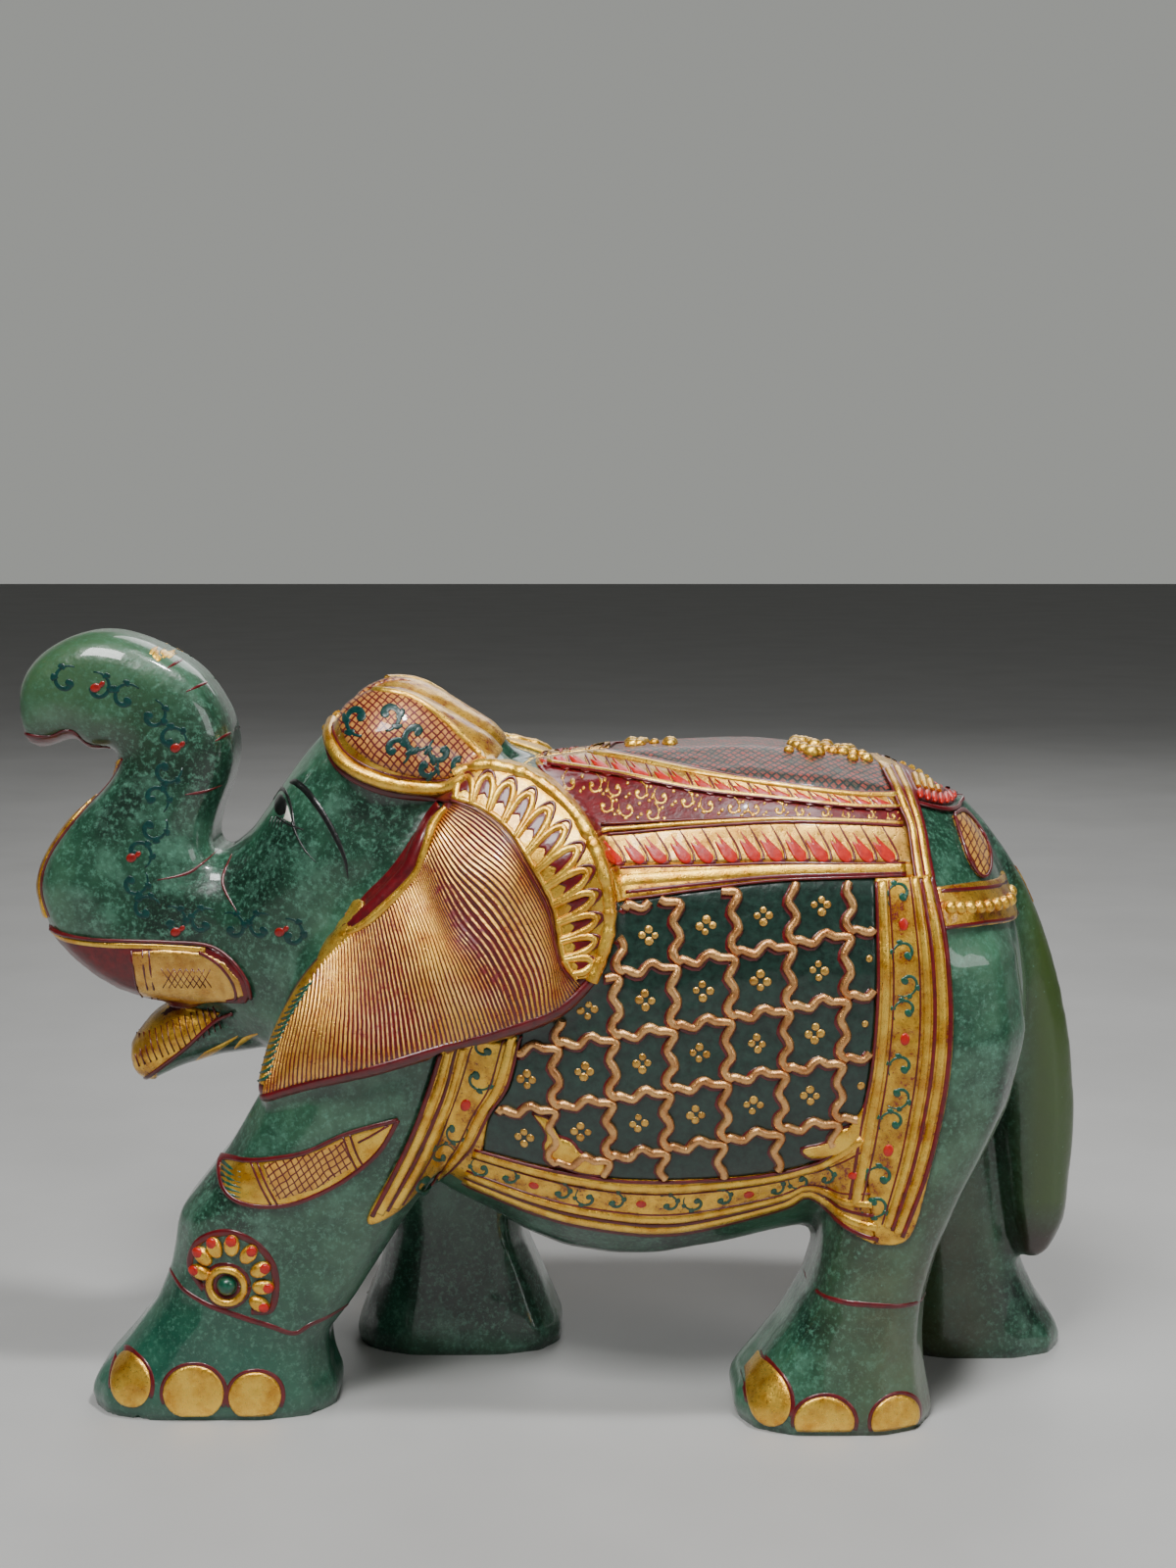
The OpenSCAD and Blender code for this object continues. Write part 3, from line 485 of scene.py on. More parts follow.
def bands(side, word):
    behind = {"without": [ear_outline]}
    coat(f"cloth_ground_{word}", closed(field_top, field_rear, field_foot, field_front), side,
         PAINT_RISE, cloth_green, [f"cloth_field_{word}"], "green_ground", **behind)
    coat(f"cloth_hem_{word}", closed(hem, field_foot, field_front), side, GESSO_RISE, border_gold,
         [f"cloth_border_{word}"], "border_gilding", **behind)
    coat(f"plain_gold_rule_{word}", closed(field_top, [(47.8, 74.4), (47.6, 76)], rule_top[::-1]),
         side, GESSO_RISE, border_gold, [f"gold_rule_{word}"], "border_gilding", **behind)
    coat(f"lower_leaf_ground_{word}", closed(rule_top, leaf_top[::-1]), side, BAND_RISE, pale_gold,
         [f"lower_leaf_band_{word}"], "leaf_bands", **behind)
    coat(f"crimson_band_{word}", closed(leaf_top, scroll_top[::-1]), side, PAINT_RISE, crimson,
         [f"scroll_band_{word}"], "crimson_lacquer", reach=3, **behind)
    coat(f"upper_leaf_ground_{word}", closed(scroll_top, panel_edge[::-1]), side, BAND_RISE,
         pale_gold, [f"upper_leaf_band_{word}"], "leaf_bands", reach=1, **behind)


for side, word in NAMED_SIDES:
    bands(side, word)
coat("rear_gold_band", closed(rear_inner, field_rear, rear_outer), BOTH, GESSO_RISE, border_gold,
     ["rear_band"], "border_gilding")

# ---- Painted lines and piped ridges of the cloth's borders ----
# Brush lines of dark red and flat ridges of gilded gesso run side by side round the cloth. Each is
# drawn flat, as the painter lays it out, and then pressed onto the stone.
LOOKS = {LEFT: ((0, -1, 0), (0, 0, 1)), RIGHT: ((0, 1, 0), (0, 0, 1)),
         "top": ((0, 0, 1), (0, 1, 0))}
SIDES = (LEFT, RIGHT)
CROWN = [(-1, 0), (-0.85, 0.5), (-0.5, 0.87), (0, 1), (0.5, 0.87), (0.85, 0.5), (1, 0)]
PAD_PROFILE = ((1, 0.15), (0.93, 0.55), (0.75, 0.85), (0.4, 1))
SINK = 0.18
LINE_RISE = 0.12
ON_STONE = 0
HAIR = 0.02
RIDGE_RISE = 0.4
EAR_MARGIN = 0.6


class Drawing:
    """Flat shapes in side view, in millimetres: strokes and pads, each with its rise."""

    def __init__(self):
        self.points, self.faces = [], []

    def rows(self, rings, ends):
        first, width = len(self.points), len(rings[0])
        for ring in rings:
            self.points.extend(map(tuple, ring))
        for i in range(len(rings) - 1):
            for j in range(width):
                a, b = first + i * width + j, first + i * width + (j + 1) % width
                self.faces.append((a, a + width, b + width, b))
        if ends:
            self.faces.append(tuple(range(first, first + width)))
            self.faces.append(tuple(range(first + len(rings) * width - 1,
                                          first + (len(rings) - 1) * width - 1, -1)))

    def stroke(self, path, widths, rise):
        path = np.asarray(path, float)
        run = np.gradient(path, axis=0)
        run /= np.maximum(np.linalg.norm(run, axis=1), 1e-9)[:, None]
        side = np.stack([-run[:, 1], run[:, 0]], axis=1)
        widths = np.atleast_1d(widths)
        width = np.interp(np.linspace(0, 1, len(path)), np.linspace(0, 1, len(widths)), widths)
        rings = []
        for point, across, w in zip(path, side, width):
            high = rise * min(1, 0.4 + w / max(widths.max(), 1e-6) * 0.6)
            ring = [(*(point + across * (w / 2 * u)), high * v) for u, v in CROWN]
            ring += [(*(point + across * (w / 2)), -SINK), (*(point - across * (w / 2)), -SINK)]
            rings.append(ring)
        self.rows(rings, True)

    def pad(self, outline, rise):
        outline = np.asarray(outline, float)
        centre = outline.mean(axis=0)
        rings = [[(*p, -SINK) for p in outline]]
        for share, high in PAD_PROFILE:
            rings.append([(*(centre + (p - centre) * share), high * rise) for p in outline])
        first = len(self.points)
        self.rows(rings, False)
        width = len(outline)
        top = first + 4 * width
        self.points.append((*centre, rise))
        last = len(self.points) - 1
        self.faces.extend((top + j, last, top + (j + 1) % width) for j in range(width))
        self.faces.append(tuple(range(first, first + width)))
        area = 0.5 * np.sum(outline[:, 0] * np.roll(outline[:, 1], -1)
                            - outline[:, 1] * np.roll(outline[:, 0], -1))
        if area > 0:
            count = 4 * width + width + 1
            self.faces[-count:] = [face[::-1] for face in self.faces[-count:]]

    def mesh(self, name):
        made = bpy.data.meshes.new(name)
        made.from_pydata((np.array(self.points) * MM).tolist(), [], self.faces)
        return made


def geometry_tree(name, inputs):
    tree = bpy.data.node_groups.new(name, "GeometryNodeTree")
    tree.interface.new_socket("Geometry", in_out="INPUT", socket_type="NodeSocketGeometry")
    for key, kind in inputs:
        tree.interface.new_socket(key, in_out="INPUT", socket_type=kind)
    tree.interface.new_socket("Geometry", in_out="OUTPUT", socket_type="NodeSocketGeometry")
    return tree, put(tree, "NodeGroupInput").outputs


LOOK_INPUTS = [("Stone", "NodeSocketObject"), ("Outward", "NodeSocketVector"),
               ("Up", "NodeSocketVector"), ("Lift", "NodeSocketFloat"),
               ("Mirrored", "NodeSocketBool"), ("Finish", "NodeSocketMaterial")]


def pressed(tree, asks, drawn):
    """Moves the flat points out and casts them back onto the stone. Points that miss are cut."""
    def scaled(vector, factor):
        return put(tree, "ShaderNodeVectorMath", {0: vector, "Scale": factor},
                   operation="SCALE").outputs[0]

    def added(a, b):
        return put(tree, "ShaderNodeVectorMath", {0: a, 1: b}, operation="ADD").outputs[0]

    flat = put(tree, "ShaderNodeSeparateXYZ",
               {"Vector": put(tree, "GeometryNodeInputPosition").outputs[0]}).outputs
    across = put(tree, "ShaderNodeCombineXYZ", {"X": flat["X"]}).outputs[0]
    start = added(added(across, scaled(asks["Up"], flat["Y"])), scaled(asks["Outward"], 0.2))
    block = put(tree, "GeometryNodeObjectInfo", {"Object": asks["Stone"]},
                transform_space="ORIGINAL")
    ray = put(tree, "GeometryNodeRaycast",
              {"Target Geometry": block.outputs["Geometry"], "Source Position": start,
               "Ray Direction": scaled(asks["Outward"], -1), "Ray Length": 0.4,
               "Attribute": put(tree, "GeometryNodeInputNormal").outputs[0]},
              data_type="FLOAT_VECTOR")
    missed = put(tree, "FunctionNodeBooleanMath", {0: ray.outputs["Is Hit"]},
                 operation="NOT").outputs[0]
    kept = put(tree, "GeometryNodeDeleteGeometry", {"Geometry": drawn, "Selection": missed},
               domain="POINT")
    normal = put(tree, "ShaderNodeVectorMath", {0: ray.outputs["Attribute"]},
                 operation="NORMALIZE").outputs[0]
    height = calc(tree, "ADD", flat["Z"], asks["Lift"])
    bearing = put(tree, "GeometryNodeStoreNamedAttribute",
                  {"Geometry": kept.outputs[0], "Name": "bearing", "Value": normal},
                  data_type="FLOAT_VECTOR", domain="POINT")
    return put(tree, "GeometryNodeSetPosition",
               {"Geometry": bearing.outputs[0],
                "Position": added(ray.outputs["Hit Position"], scaled(normal, height))}).outputs[0]


def ended(tree, asks, made):
    """Smooth shading, real meshes for every copy, and the finish."""
    smooth = put(tree, "GeometryNodeSetShadeSmooth", {"Geometry": made}).outputs[0]
    real = put(tree, "GeometryNodeRealizeInstances", {"Geometry": smooth}).outputs[0]
    done = put(tree, "GeometryNodeSetMaterial", {"Geometry": real,
                                                 "Material": asks["Finish"]}).outputs[0]
    put(tree, "NodeGroupOutput", {0: done})
    return tree


paint_tree, asks = geometry_tree("paint laid on the stone", LOOK_INPUTS)
laid = pressed(paint_tree, asks, asks["Geometry"])
flipped = put(paint_tree, "GeometryNodeFlipFaces", {"Mesh": laid,
                                                    "Selection": asks["Mirrored"]}).outputs[0]
ended(paint_tree, asks, flipped)


def lay(name, drawings, tree, finish, nodes, slot, lift=0.0, looks=SIDES, **more):
    """Presses a flat drawing onto the stone from each side named, as one piece."""
    both = bmesh.new()
    for look in looks:
        drawing = drawings[look] if isinstance(drawings, dict) else drawings
        piece = place(name + "_flat", drawing.mesh(name))
        pressing = piece.modifiers.new("pressing", "NODES")
        pressing.node_group = tree
        values = {"Stone": stone, "Outward": LOOKS[look][0], "Up": LOOKS[look][1],
                  "Lift": lift * MM, "Mirrored": look == RIGHT, "Finish": finish, **more}
        for item in tree.interface.items_tree:
            if item.in_out == "INPUT" and item.name in values:
                pressing[item.identifier] = values[item.name]
        both.from_mesh(settle(piece))
        bpy.data.objects.remove(piece)
    mesh = bpy.data.meshes.new(name)
    both.to_mesh(mesh)
    both.free()
    mesh.materials.clear()
    mesh.materials.append(finish)
    mesh.shade_smooth()
    piece = place(name, mesh)
    if nodes:
        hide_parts(*nodes)
    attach(piece, "root")
    return piece


def both_sides(word):
    return [f"{word}_left", f"{word}_right"]


def between(inner, outer, share, cuts=60):
    steps = np.linspace(0, 1, cuts)
    return along(inner, steps) * (1 - share) + along(outer, steps) * share


def hidden_by_ear(point):
    return depth_inside(np.array([point[:2]]), ear_outline)[0] > -EAR_MARGIN


def clear_runs(path, blocked):
    """The stretches of a path that aren't under something."""
    runs, run = [], []
    for point in path:
        if blocked(point):
            if len(run) > 2:
                runs.append(run)
            run = []
        else:
            run.append(point)
    return runs + ([run] if len(run) > 2 else [])


front_run = (smooth_path([(-3.6, 54), (-5.3, 47), (-8, 42.5), (-10.6, 37), (-14.6, 32)]),
             smooth_path([(-14, 54), (-17, 44.6), (-19.4, 38.4), (-24.2, 28.7)]))
foot_run = (smooth_path([(-10, 37.4), (0, 35.5), (10, 34.2), (20, 34.3), (29.5, 35), (36, 37),
                         (41, 42)]),
            smooth_path([(-12, 31.4), (-9.7, 30.5), (0, 27.3), (10, 25.4), (15, 25), (20, 25.6),
                         (31, 29), (34.5, 31), (39.5, 27.5), (43.4, 26.4)]))
rear_run = (smooth_path([(39.8, 31.5), (41, 42), (42, 50), (42.6, 60), (42.5, 73.8)]),
            smooth_path([(46.6, 27), (49.8, 36), (51.9, 46), (52.6, 56), (51.8, 66), (50.2, 74.4)]))
rump_run = (smooth_path([(47.9, 74), (47.7, 76), (47.3, 80.4), (46.6, 82.4), (46.0, 84.2),
                         (45.2, 86.6)]),
            smooth_path([(50.2, 74), (49.9, 76), (49.3, 81), (48.6, 84.6), (48.0, 87)]))
border_lines, border_ridges = Drawing(), Drawing()
for run in (front_run, foot_run, rear_run):
    for share, width in ((0.015, 0.42), (0.22, 0.24), (0.585, 0.24), (0.775, 0.5), (0.975, 0.6)):
        for path in clear_runs(between(*run, share), hidden_by_ear):
            border_lines.stroke(path, width, LINE_RISE)
    for share, width in ((0.12, 1.25), (0.68, 1.1), (0.875, 1.2)):
        for path in clear_runs(between(*run, share), hidden_by_ear):
            border_ridges.stroke(path, width, RIDGE_RISE)
for share, width in ((0.0, 0.4), (0.5, 0.5), (1.0, 0.6)):
    border_lines.stroke(between(*rump_run, share), width, LINE_RISE)
for share, width in ((0.25, 1.0), (0.75, 1.0)):
    border_ridges.stroke(between(*rump_run, share), width, RIDGE_RISE)


def in_band(lower, upper):
    """Maps x and a share of the band's height to a point."""
    low, high = smooth_path(lower), smooth_path(upper)

    def at(x, share):
        z0 = np.interp(x, low[:, 0], low[:, 1])
        z1 = np.interp(x, high[:, 0], high[:, 1])
        return (x, z0 + (z1 - z0) * share)
    return at


rule = in_band(field_top + [(47.8, 74.4)], rule_top)
lower_leaves = in_band(rule_top, leaf_top)
scrolls = in_band(leaf_top, scroll_top)
upper_leaves = in_band(scroll_top, panel_edge)
for band, share, width in ((rule, 0.22, 0.45), (rule, 0.9, 0.35), (rule, 0.02, 0.3),
                           (lower_leaves, 0.97, 0.3), (scrolls, 0.16, 0.25),
                           (upper_leaves, 0.0, 0.3), (upper_leaves, 0.97, 0.3)):
    line = [band(x, share) for x in np.arange(-3, 47.4, 0.8)]
    for path in clear_runs(line, hidden_by_ear):
        border_lines.stroke(path, width, LINE_RISE)
for band, share, width in ((rule, 0.55, 1.5), (scrolls, 0.07, 0.5), (upper_leaves, 0.07, 0.5),
                           (upper_leaves, 0.86, 0.6)):
    line = [band(x, share) for x in np.arange(-3, 47.4, 0.8)]
    for path in clear_runs(line, hidden_by_ear):
        border_ridges.stroke(path, width, 0.3)
lay("dark_red_border_lines", border_lines, paint_tree, crimson, [], "crimson_lacquer",
    GESSO_RISE + HAIR)
lay("gilded_ridges", border_ridges, paint_tree, bright_gold, [], "raised_gold", BAND_RISE)

# ---- Leaves of the two leaf bands ----
# A row of slanted leaves: a gold rim, a crimson gap between leaves and a red flame in each, all
# put on with a small brush, the left tip of every flame drawn out thin.
CLOTH_REAR = 47
FLAME = [(0.28, -0.36), (0.36, -0.1), (0.14, 0.2), (-0.05, 0.42), (-0.32, 0.78), (-0.22, 0.3),
         (-0.5, 0.42), (-0.42, 0.0), (-0.3, -0.3), (0, -0.45), (0.28, -0.36)]
leaf_gaps, leaf_flames, leaf_rims = Drawing(), Drawing(), Drawing()
brush = random.Random(7)


def blocked_there(point):
    return hidden_by_ear(point) or point[0] > CLOTH_REAR


def leaf_row(band, first, last, pitch, lean):
    x = first
    while x < last:
        step = pitch * (0.92 + 0.16 * brush.random())
        root, tip = band(x + lean * 0.45, 0.06), band(x - lean * 0.55, 0.93)
        if not blocked_there(root) and not blocked_there(tip) and not blocked_there(band(x, 0.5)):
            middle, low = band(x + lean * 0.02, 0.55), band(x + lean * 0.38, 0.26)
            leaf_gaps.stroke(smooth_path([tip, middle, low, root]), [0.14, 0.34, 0.3, 0.4], 0.1)
            rim = [(p[0] - 0.3 * pitch / 3, p[1]) for p in (middle, low, root)]
            leaf_rims.stroke(smooth_path(rim), [0.12, 0.26, 0.2], 0.2)
            heart = np.array(band(x - step * 0.42 + lean * 0.3, 0.28))
            size = (band(x, 1)[1] - band(x, 0)[1]) * 0.66
            wide = step * 0.9
            leaf_flames.pad(smooth_path([(heart[0] + (u - 0.35 * v) * wide, heart[1] + v * size)
                                         for u, v in FLAME], 3)[:-1], 0.16)
            ground = band(x - step * 0.45 + lean * 0.42, 0.06)
            leaf_gaps.stroke(smooth_path([ground, band(x + lean * 0.4, 0.07)]), [0.7, 1.0, 0.7],
                             0.08)
        x += step


leaf_row(lower_leaves, 9, 49, 3.1, 1.9)
leaf_row(upper_leaves, -3, 48, 2.7, 1.1)
lay("leaf_gaps", leaf_gaps, paint_tree, crimson, [], "crimson_lacquer", BAND_RISE)
lay("leaf_rims", leaf_rims, paint_tree, bright_gold, [], "raised_gold", BAND_RISE)
lay("red_flames_of_the_leaves", leaf_flames, paint_tree, bright_red, [], "crimson_lacquer",
    BAND_RISE + HAIR)

# ---- Scrolls: gold on the crimson band, green along the borders, teal on the trunk ----
# Each scroll is one turn of a fine brush that starts in a bulb and runs out to a hair line, with
# short leaves beside it. They alternate from hand to hand along their line.
teal = lacquer("teal_enamel", (0.0005, 0.020, 0.018), (0.002, 0.050, 0.042), 0.6, 0.2)
C_TURN = 4.6


def curl(drawing, centre, size, turn, hand, width, rise=0.14):
    """A C-shaped scroll with its bulb and two leaves."""
    share = np.linspace(0, 1, 20)
    radius = size * (0.2 + 0.8 * share ** 0.8)
    angle = turn + hand * C_TURN * share
    centre = np.asarray(centre, float)
    path = centre + np.stack([np.cos(angle), np.sin(angle)], axis=1) * radius[:, None]
    drawing.stroke(path, [width * 1.5, width, width * 0.8, width * 0.35], rise)
    drawing.pad(oval(path[0], size * 0.3, size * 0.24, turn), rise * 1.2)
    for k, reach in ((11, 0.42), (15, 0.34)):
        root, out = path[k], angle[k]
        tip = root + np.array([np.cos(out + hand * 0.9), np.sin(out + hand * 0.9)]) * size * reach
        drawing.stroke(smooth_path([root, (root + tip) / 2, tip], 3),
                       [width * 1.6, width * 1.8, width * 0.3], rise)


def oval(centre, long, short, turn, count=12):
    angles = np.linspace(0, 2 * math.pi, count, endpoint=False)
    u, v = np.cos(angles) * long, np.sin(angles) * short
    return np.stack([centre[0] + u * math.cos(turn) - v * math.sin(turn),
                     centre[1] + u * math.sin(turn) + v * math.cos(turn)], axis=1)


SCROLL_PITCH = 3.05
SCROLL_ROW = 2.2
gold_scrolls = Drawing()
for row in range(3):
    for k in range(17):
        x = -3.4 + SCROLL_PITCH * k + 1.5 * (row % 2)
        top, bottom = scrolls(x, 1)[1], scrolls(x, 0.14)[1]
        size = min(1.25, (top - bottom) * 0.42)
        z = top - 0.2 - size - row * SCROLL_ROW
        if z - size * 0.8 < bottom or size < 0.45 or blocked_there((x - 1, z)):
            continue
        hand = 1 if k % 2 else -1
        curl(gold_scrolls, (x, z), size, 0.6 + 2.6 * (k % 2) + brush.uniform(-0.4, 0.4), hand, 0.3)
        for spread, drop in ((1.05, 0.8), (1.4, 0.5), (1.25, -0.5)):
            dot_there = (x + spread * size, z - size * drop)
            gold_scrolls.pad(oval(dot_there, size * 0.19, size * 0.16, 0.3), 0.18)
lay("gold_scrolls_on_crimson", gold_scrolls, paint_tree, bright_gold, [], "raised_gold", PAINT_RISE)

green_scrolls, red_hearts = Drawing(), Drawing()


def heading_at(path, share):
    """The way a path runs, a little before and after a share of its length."""
    ahead = along(path, min(share + 0.02, 1)) - along(path, max(share - 0.02, 0))
    return math.atan2(ahead[1], ahead[0])


for run, count in ((front_run, 6), (foot_run, 15), (rear_run, 12)):
    middle = between(*run, 0.4, 80)
    gap = np.linalg.norm(between(*run, 0.24, 80) - between(*run, 0.57, 80), axis=1).mean()
    for k in range(count):
        share = (k + 0.5) / count
        spot_there = along(middle, share)
        if hidden_by_ear(spot_there):
            continue
        heading = heading_at(middle, share)
        if k % 4 == 2:
            red_hearts.pad(oval(spot_there, gap * 0.26, gap * 0.2, heading), 0.14)
            continue
        curl(green_scrolls, spot_there, gap * 0.62, heading + 0.8 + 3.1 * (k % 2),
             1 if k % 2 else -1, 0.42)
lay("green_scrolls_on_the_borders", green_scrolls, paint_tree, leaf_green, [], "green_ground",
    GESSO_RISE)
lay("red_hearts_on_the_borders", red_hearts, paint_tree, bright_red, [], "crimson_lacquer",
    GESSO_RISE + HAIR)

trunk_line = smooth_path([(-68, 99), (-65, 99), (-62, 98.2), (-57, 96.3), (-53, 93), (-51.8, 89.8),
                          (-53.8, 84), (-55, 81.5), (-54.6, 78.2), (-57, 75), (-57.2, 71.6),
                          (-55.5, 67.8), (-51.4, 66.2), (-49, 66.4), (-44.6, 65.6), (-40.2, 66),
                          (-36.6, 65.7), (-33, 65)])
trunk_scrolls, trunk_dots = Drawing(), Drawing()
for k in range(16):
    share = (k + 0.5) / 16
    spot_there = along(trunk_line, share)
    heading = heading_at(trunk_line, share)
    hand = 1 if k % 2 else -1
    curl(trunk_scrolls, spot_there, 2.25, heading + 0.6 * hand + math.pi * (k % 2), hand, 0.62,
         0.05)
for x, z in ((-62, 98.2), (-51.2, 90), (-57.4, 75), (-51.4, 64.9), (-36.6, 65.7)):
    trunk_dots.pad(oval((x, z), 0.75, 0.62, 0.4), 0.16)
    trunk_dots.pad(oval((x + 0.9, z + 0.5), 0.5, 0.35, 0.9), 0.14)
lay("teal_scrolls_on_the_trunk", trunk_scrolls, paint_tree, teal, [], "green_ground", ON_STONE)
brick_red = lacquer("brick_red_enamel", (0.16, 0.003, 0.003), (0.34, 0.012, 0.006), 0.8)
lay("red_flowers_on_the_trunk", trunk_dots, paint_tree, brick_red, [], "crimson_lacquer", ON_STONE)

# ---- Piped trellis and its flowers ----
# Gesso squeezed from a cone in wavering cords, stepping right and down across the green field,
# gilded in a pinkish gold and edged in crimson; the edging lies low and to the left of each cord,
# so it is a painted shadow as well as an outline. Each cell holds a flower of four gold dots.
cord_tree, asks = geometry_tree("piped cord", LOOK_INPUTS + [("Unevenness", "NodeSocketFloat")])
curve = put(cord_tree, "GeometryNodeMeshToCurve", {"Mesh": asks["Geometry"]}).outputs[0]
curve = put(cord_tree, "GeometryNodeResampleCurve", {"Curve": curve, "Length": 0.32 * MM},
            mode="LENGTH").outputs[0]
laid = pressed(cord_tree, asks, curve)
wobble = put(cord_tree, "ShaderNodeTexNoise",
             {"Vector": put(cord_tree, "GeometryNodeInputPosition").outputs[0],
              "Scale": 1 / (1.3 * MM), "Detail": 2.0}).outputs["Fac"]
wobble = calc(cord_tree, "ADD", wobble, -0.5)
wobble = calc(cord_tree, "MULTIPLY_ADD", wobble, asks["Unevenness"], 1.0)
thickness = put(cord_tree, "GeometryNodeInputNamedAttribute", {"Name": "thickness"},
                data_type="FLOAT").outputs["Attribute"]
thickness = calc(cord_tree, "MULTIPLY", thickness, wobble)
profile = put(cord_tree, "GeometryNodeCurvePrimitiveCircle",
              {"Resolution": 8, "Radius": 1.0}).outputs[0]
thick = put(cord_tree, "GeometryNodeSetCurveRadius",
            {"Curve": laid, "Radius": thickness}).outputs[0]
tube = put(cord_tree, "GeometryNodeCurveToMesh", {"Curve": thick, "Profile Curve": profile,
                                                  "Fill Caps": True})
if "Scale" in tube.inputs:
    cord_tree.links.new(thickness, tube.inputs["Scale"])
ended(cord_tree, asks, tube.outputs[0])

bead_tree, asks = geometry_tree("gesso beads", LOOK_INPUTS + [("Flatness", "NodeSocketFloat")])
laid = pressed(bead_tree, asks, asks["Geometry"])
ball = put(bead_tree, "GeometryNodeMeshIcoSphere", {"Radius": 1.0,
                                                    "Subdivisions": 2}).outputs["Mesh"]
bearing = put(bead_tree, "GeometryNodeInputNamedAttribute", {"Name": "bearing"},
              data_type="FLOAT_VECTOR").outputs["Attribute"]
size = put(bead_tree, "GeometryNodeInputNamedAttribute", {"Name": "thickness"},
           data_type="FLOAT").outputs["Attribute"]
low = calc(bead_tree, "MULTIPLY", size, asks["Flatness"])
scale = put(bead_tree, "ShaderNodeCombineXYZ", {"X": size, "Y": size, "Z": low}).outputs[0]
turn = put(bead_tree, "FunctionNodeAlignRotationToVector", {"Vector": bearing}, axis="Z").outputs[0]
dotted = put(bead_tree, "GeometryNodeInstanceOnPoints",
             {"Points": laid, "Instance": ball, "Rotation": turn, "Scale": scale}).outputs[0]
ended(bead_tree, asks, dotted)


class Lines:
    """Paths or single points, in millimetres, each with a thickness, for cords and beads."""

    def __init__(self):
        self.points, self.edges, self.sizes = [], [], []

    def path(self, points, radius):
        first = len(self.points)
        self.points.extend((p[0], p[1], 0) for p in points)
        self.sizes.extend(np.broadcast_to(radius, len(points)).tolist())
        self.edges.extend((first + k, first + k + 1) for k in range(len(points) - 1))

    def dot(self, x, y, radius):
        self.points.append((x, y, 0))
        self.sizes.append(radius)

    def mesh(self, name):
        made = bpy.data.meshes.new(name)
        made.from_pydata((np.array(self.points) * MM).tolist(), self.edges, [])
        held = made.attributes.new("thickness", "FLOAT", "POINT")
        held.data.foreach_set("value", np.array(self.sizes) * MM)
        return made


CORD_RADIUS = 0.58
CORD_SWAY = 0.62
STEPS_A_SIDE = 8
FLOWER_REACH = 0.82
FLOWER_DOT = 0.54
cell_right, cell_down = np.array([7.5, 1.3]), np.array([-0.4, -8.3])
first_corner = np.array([-20.3, 73.8])
field_outline = closed(field_top, field_rear, field_foot, field_front)
trellis, trellis_edge_and_shadow, flowers = Lines(), Drawing(), Lines()


def off_the_field(point):
    return depth_inside(np.array([point[:2]]), field_outline)[0] < 0.2 or hidden_by_ear(point)


for start in range(22):
    corner = first_corner + (start // 2 - 1) * (cell_right - cell_down) + start % 2 * cell_right
    route = []
    for k in range(26):
        step = cell_down if k % 2 else cell_right
        aside = np.array([-step[1], step[0]]) / np.linalg.norm(step)
        for i in range(STEPS_A_SIDE):
            share = i / STEPS_A_SIDE
            ease = math.sin(math.pi * share)
            sway = math.sin(4 * math.pi * share + 0.4) * CORD_SWAY * (0.35 + 0.65 * ease)
            drift = aside * (sway + brush.uniform(-0.06, 0.06))
            pull = step * 0.07 if i == 0 else 0
            route.append(corner + step * share + drift + pull)
        corner = corner + step
    route = smooth_path(route, 2)
    for run in clear_runs(route, off_the_field):
        if len(run) > 6:
            trellis.path(run, CORD_RADIUS)
            # Crimson edging set down and to the left of the cord: part outline, part painted
            # shadow.
            trellis_edge_and_shadow.stroke(np.array(run) + (-0.12, -0.22), 1.5, 0.16)
for i in range(13):
    for j in range(6):
        x, z = first_corner + (i + 0.5) * cell_right + (j - 0.5) * cell_down
        for right, up in ((1, 0), (0, 1), (-1, 0), (0, -1)):
            p = (x + right * FLOWER_REACH + brush.uniform(-0.12, 0.12),
                 z + up * FLOWER_REACH + brush.uniform(-0.12, 0.12))
            if depth_inside(np.array([p]), field_outline)[0] > 0.7 and not hidden_by_ear(p):
                flowers.dot(*p, FLOWER_DOT * brush.uniform(0.85, 1.15))
cord_gold = gilding("piped_cord_gold", wear=0.16, light=(0.84, 0.46, 0.17), deep=(0.54, 0.22, 0.07),
                    ground=(0.22, 0.01, 0.02))
sprays, spray_edges = Drawing(), Drawing()
for spray in ([(-2.2, 43.4), (0, 42.6), (0.8, 40.4), (2.8, 39.6), (4.2, 37.9), (7, 36.8), (7.8, 35),
               (4, 35.1), (1.2, 36.4), (-0.8, 38.4), (-0.4, 40.4)],
              [(41.6, 45), (40.4, 42.2), (38, 41.2), (36.2, 39.4), (33.2, 38.6), (34.4, 37.2),
               (37.4, 37.4), (40.8, 38.2), (41.6, 40.6)]):
    outline = smooth_path(spray + spray[:1], 3)
    sprays.pad(outline[:-1], 0.5)
    spray_edges.stroke(outline, 0.55, 0.25)
lay("gold_sprays_in_the_corners", sprays, paint_tree, bright_gold, [], "raised_gold", PAINT_RISE)
lay("crimson_edges_of_the_sprays", spray_edges, paint_tree, crimson, [], "crimson_lacquer",
    PAINT_RISE - HAIR)
lay("crimson_edging_of_the_trellis", trellis_edge_and_shadow, paint_tree, crimson, [], "crimson_lacquer",
    PAINT_RISE - HAIR)
lay("piped_trellis", trellis, cord_tree, cord_gold, both_sides("trellis"), "piped_cord", 0.55,
    Unevenness=0.7)
lay("four_dot_flowers", flowers, bead_tree, pale_gold, both_sides("trellis_flowers"), "raised_gold",
    PAINT_RISE - HAIR, Flatness=0.35)

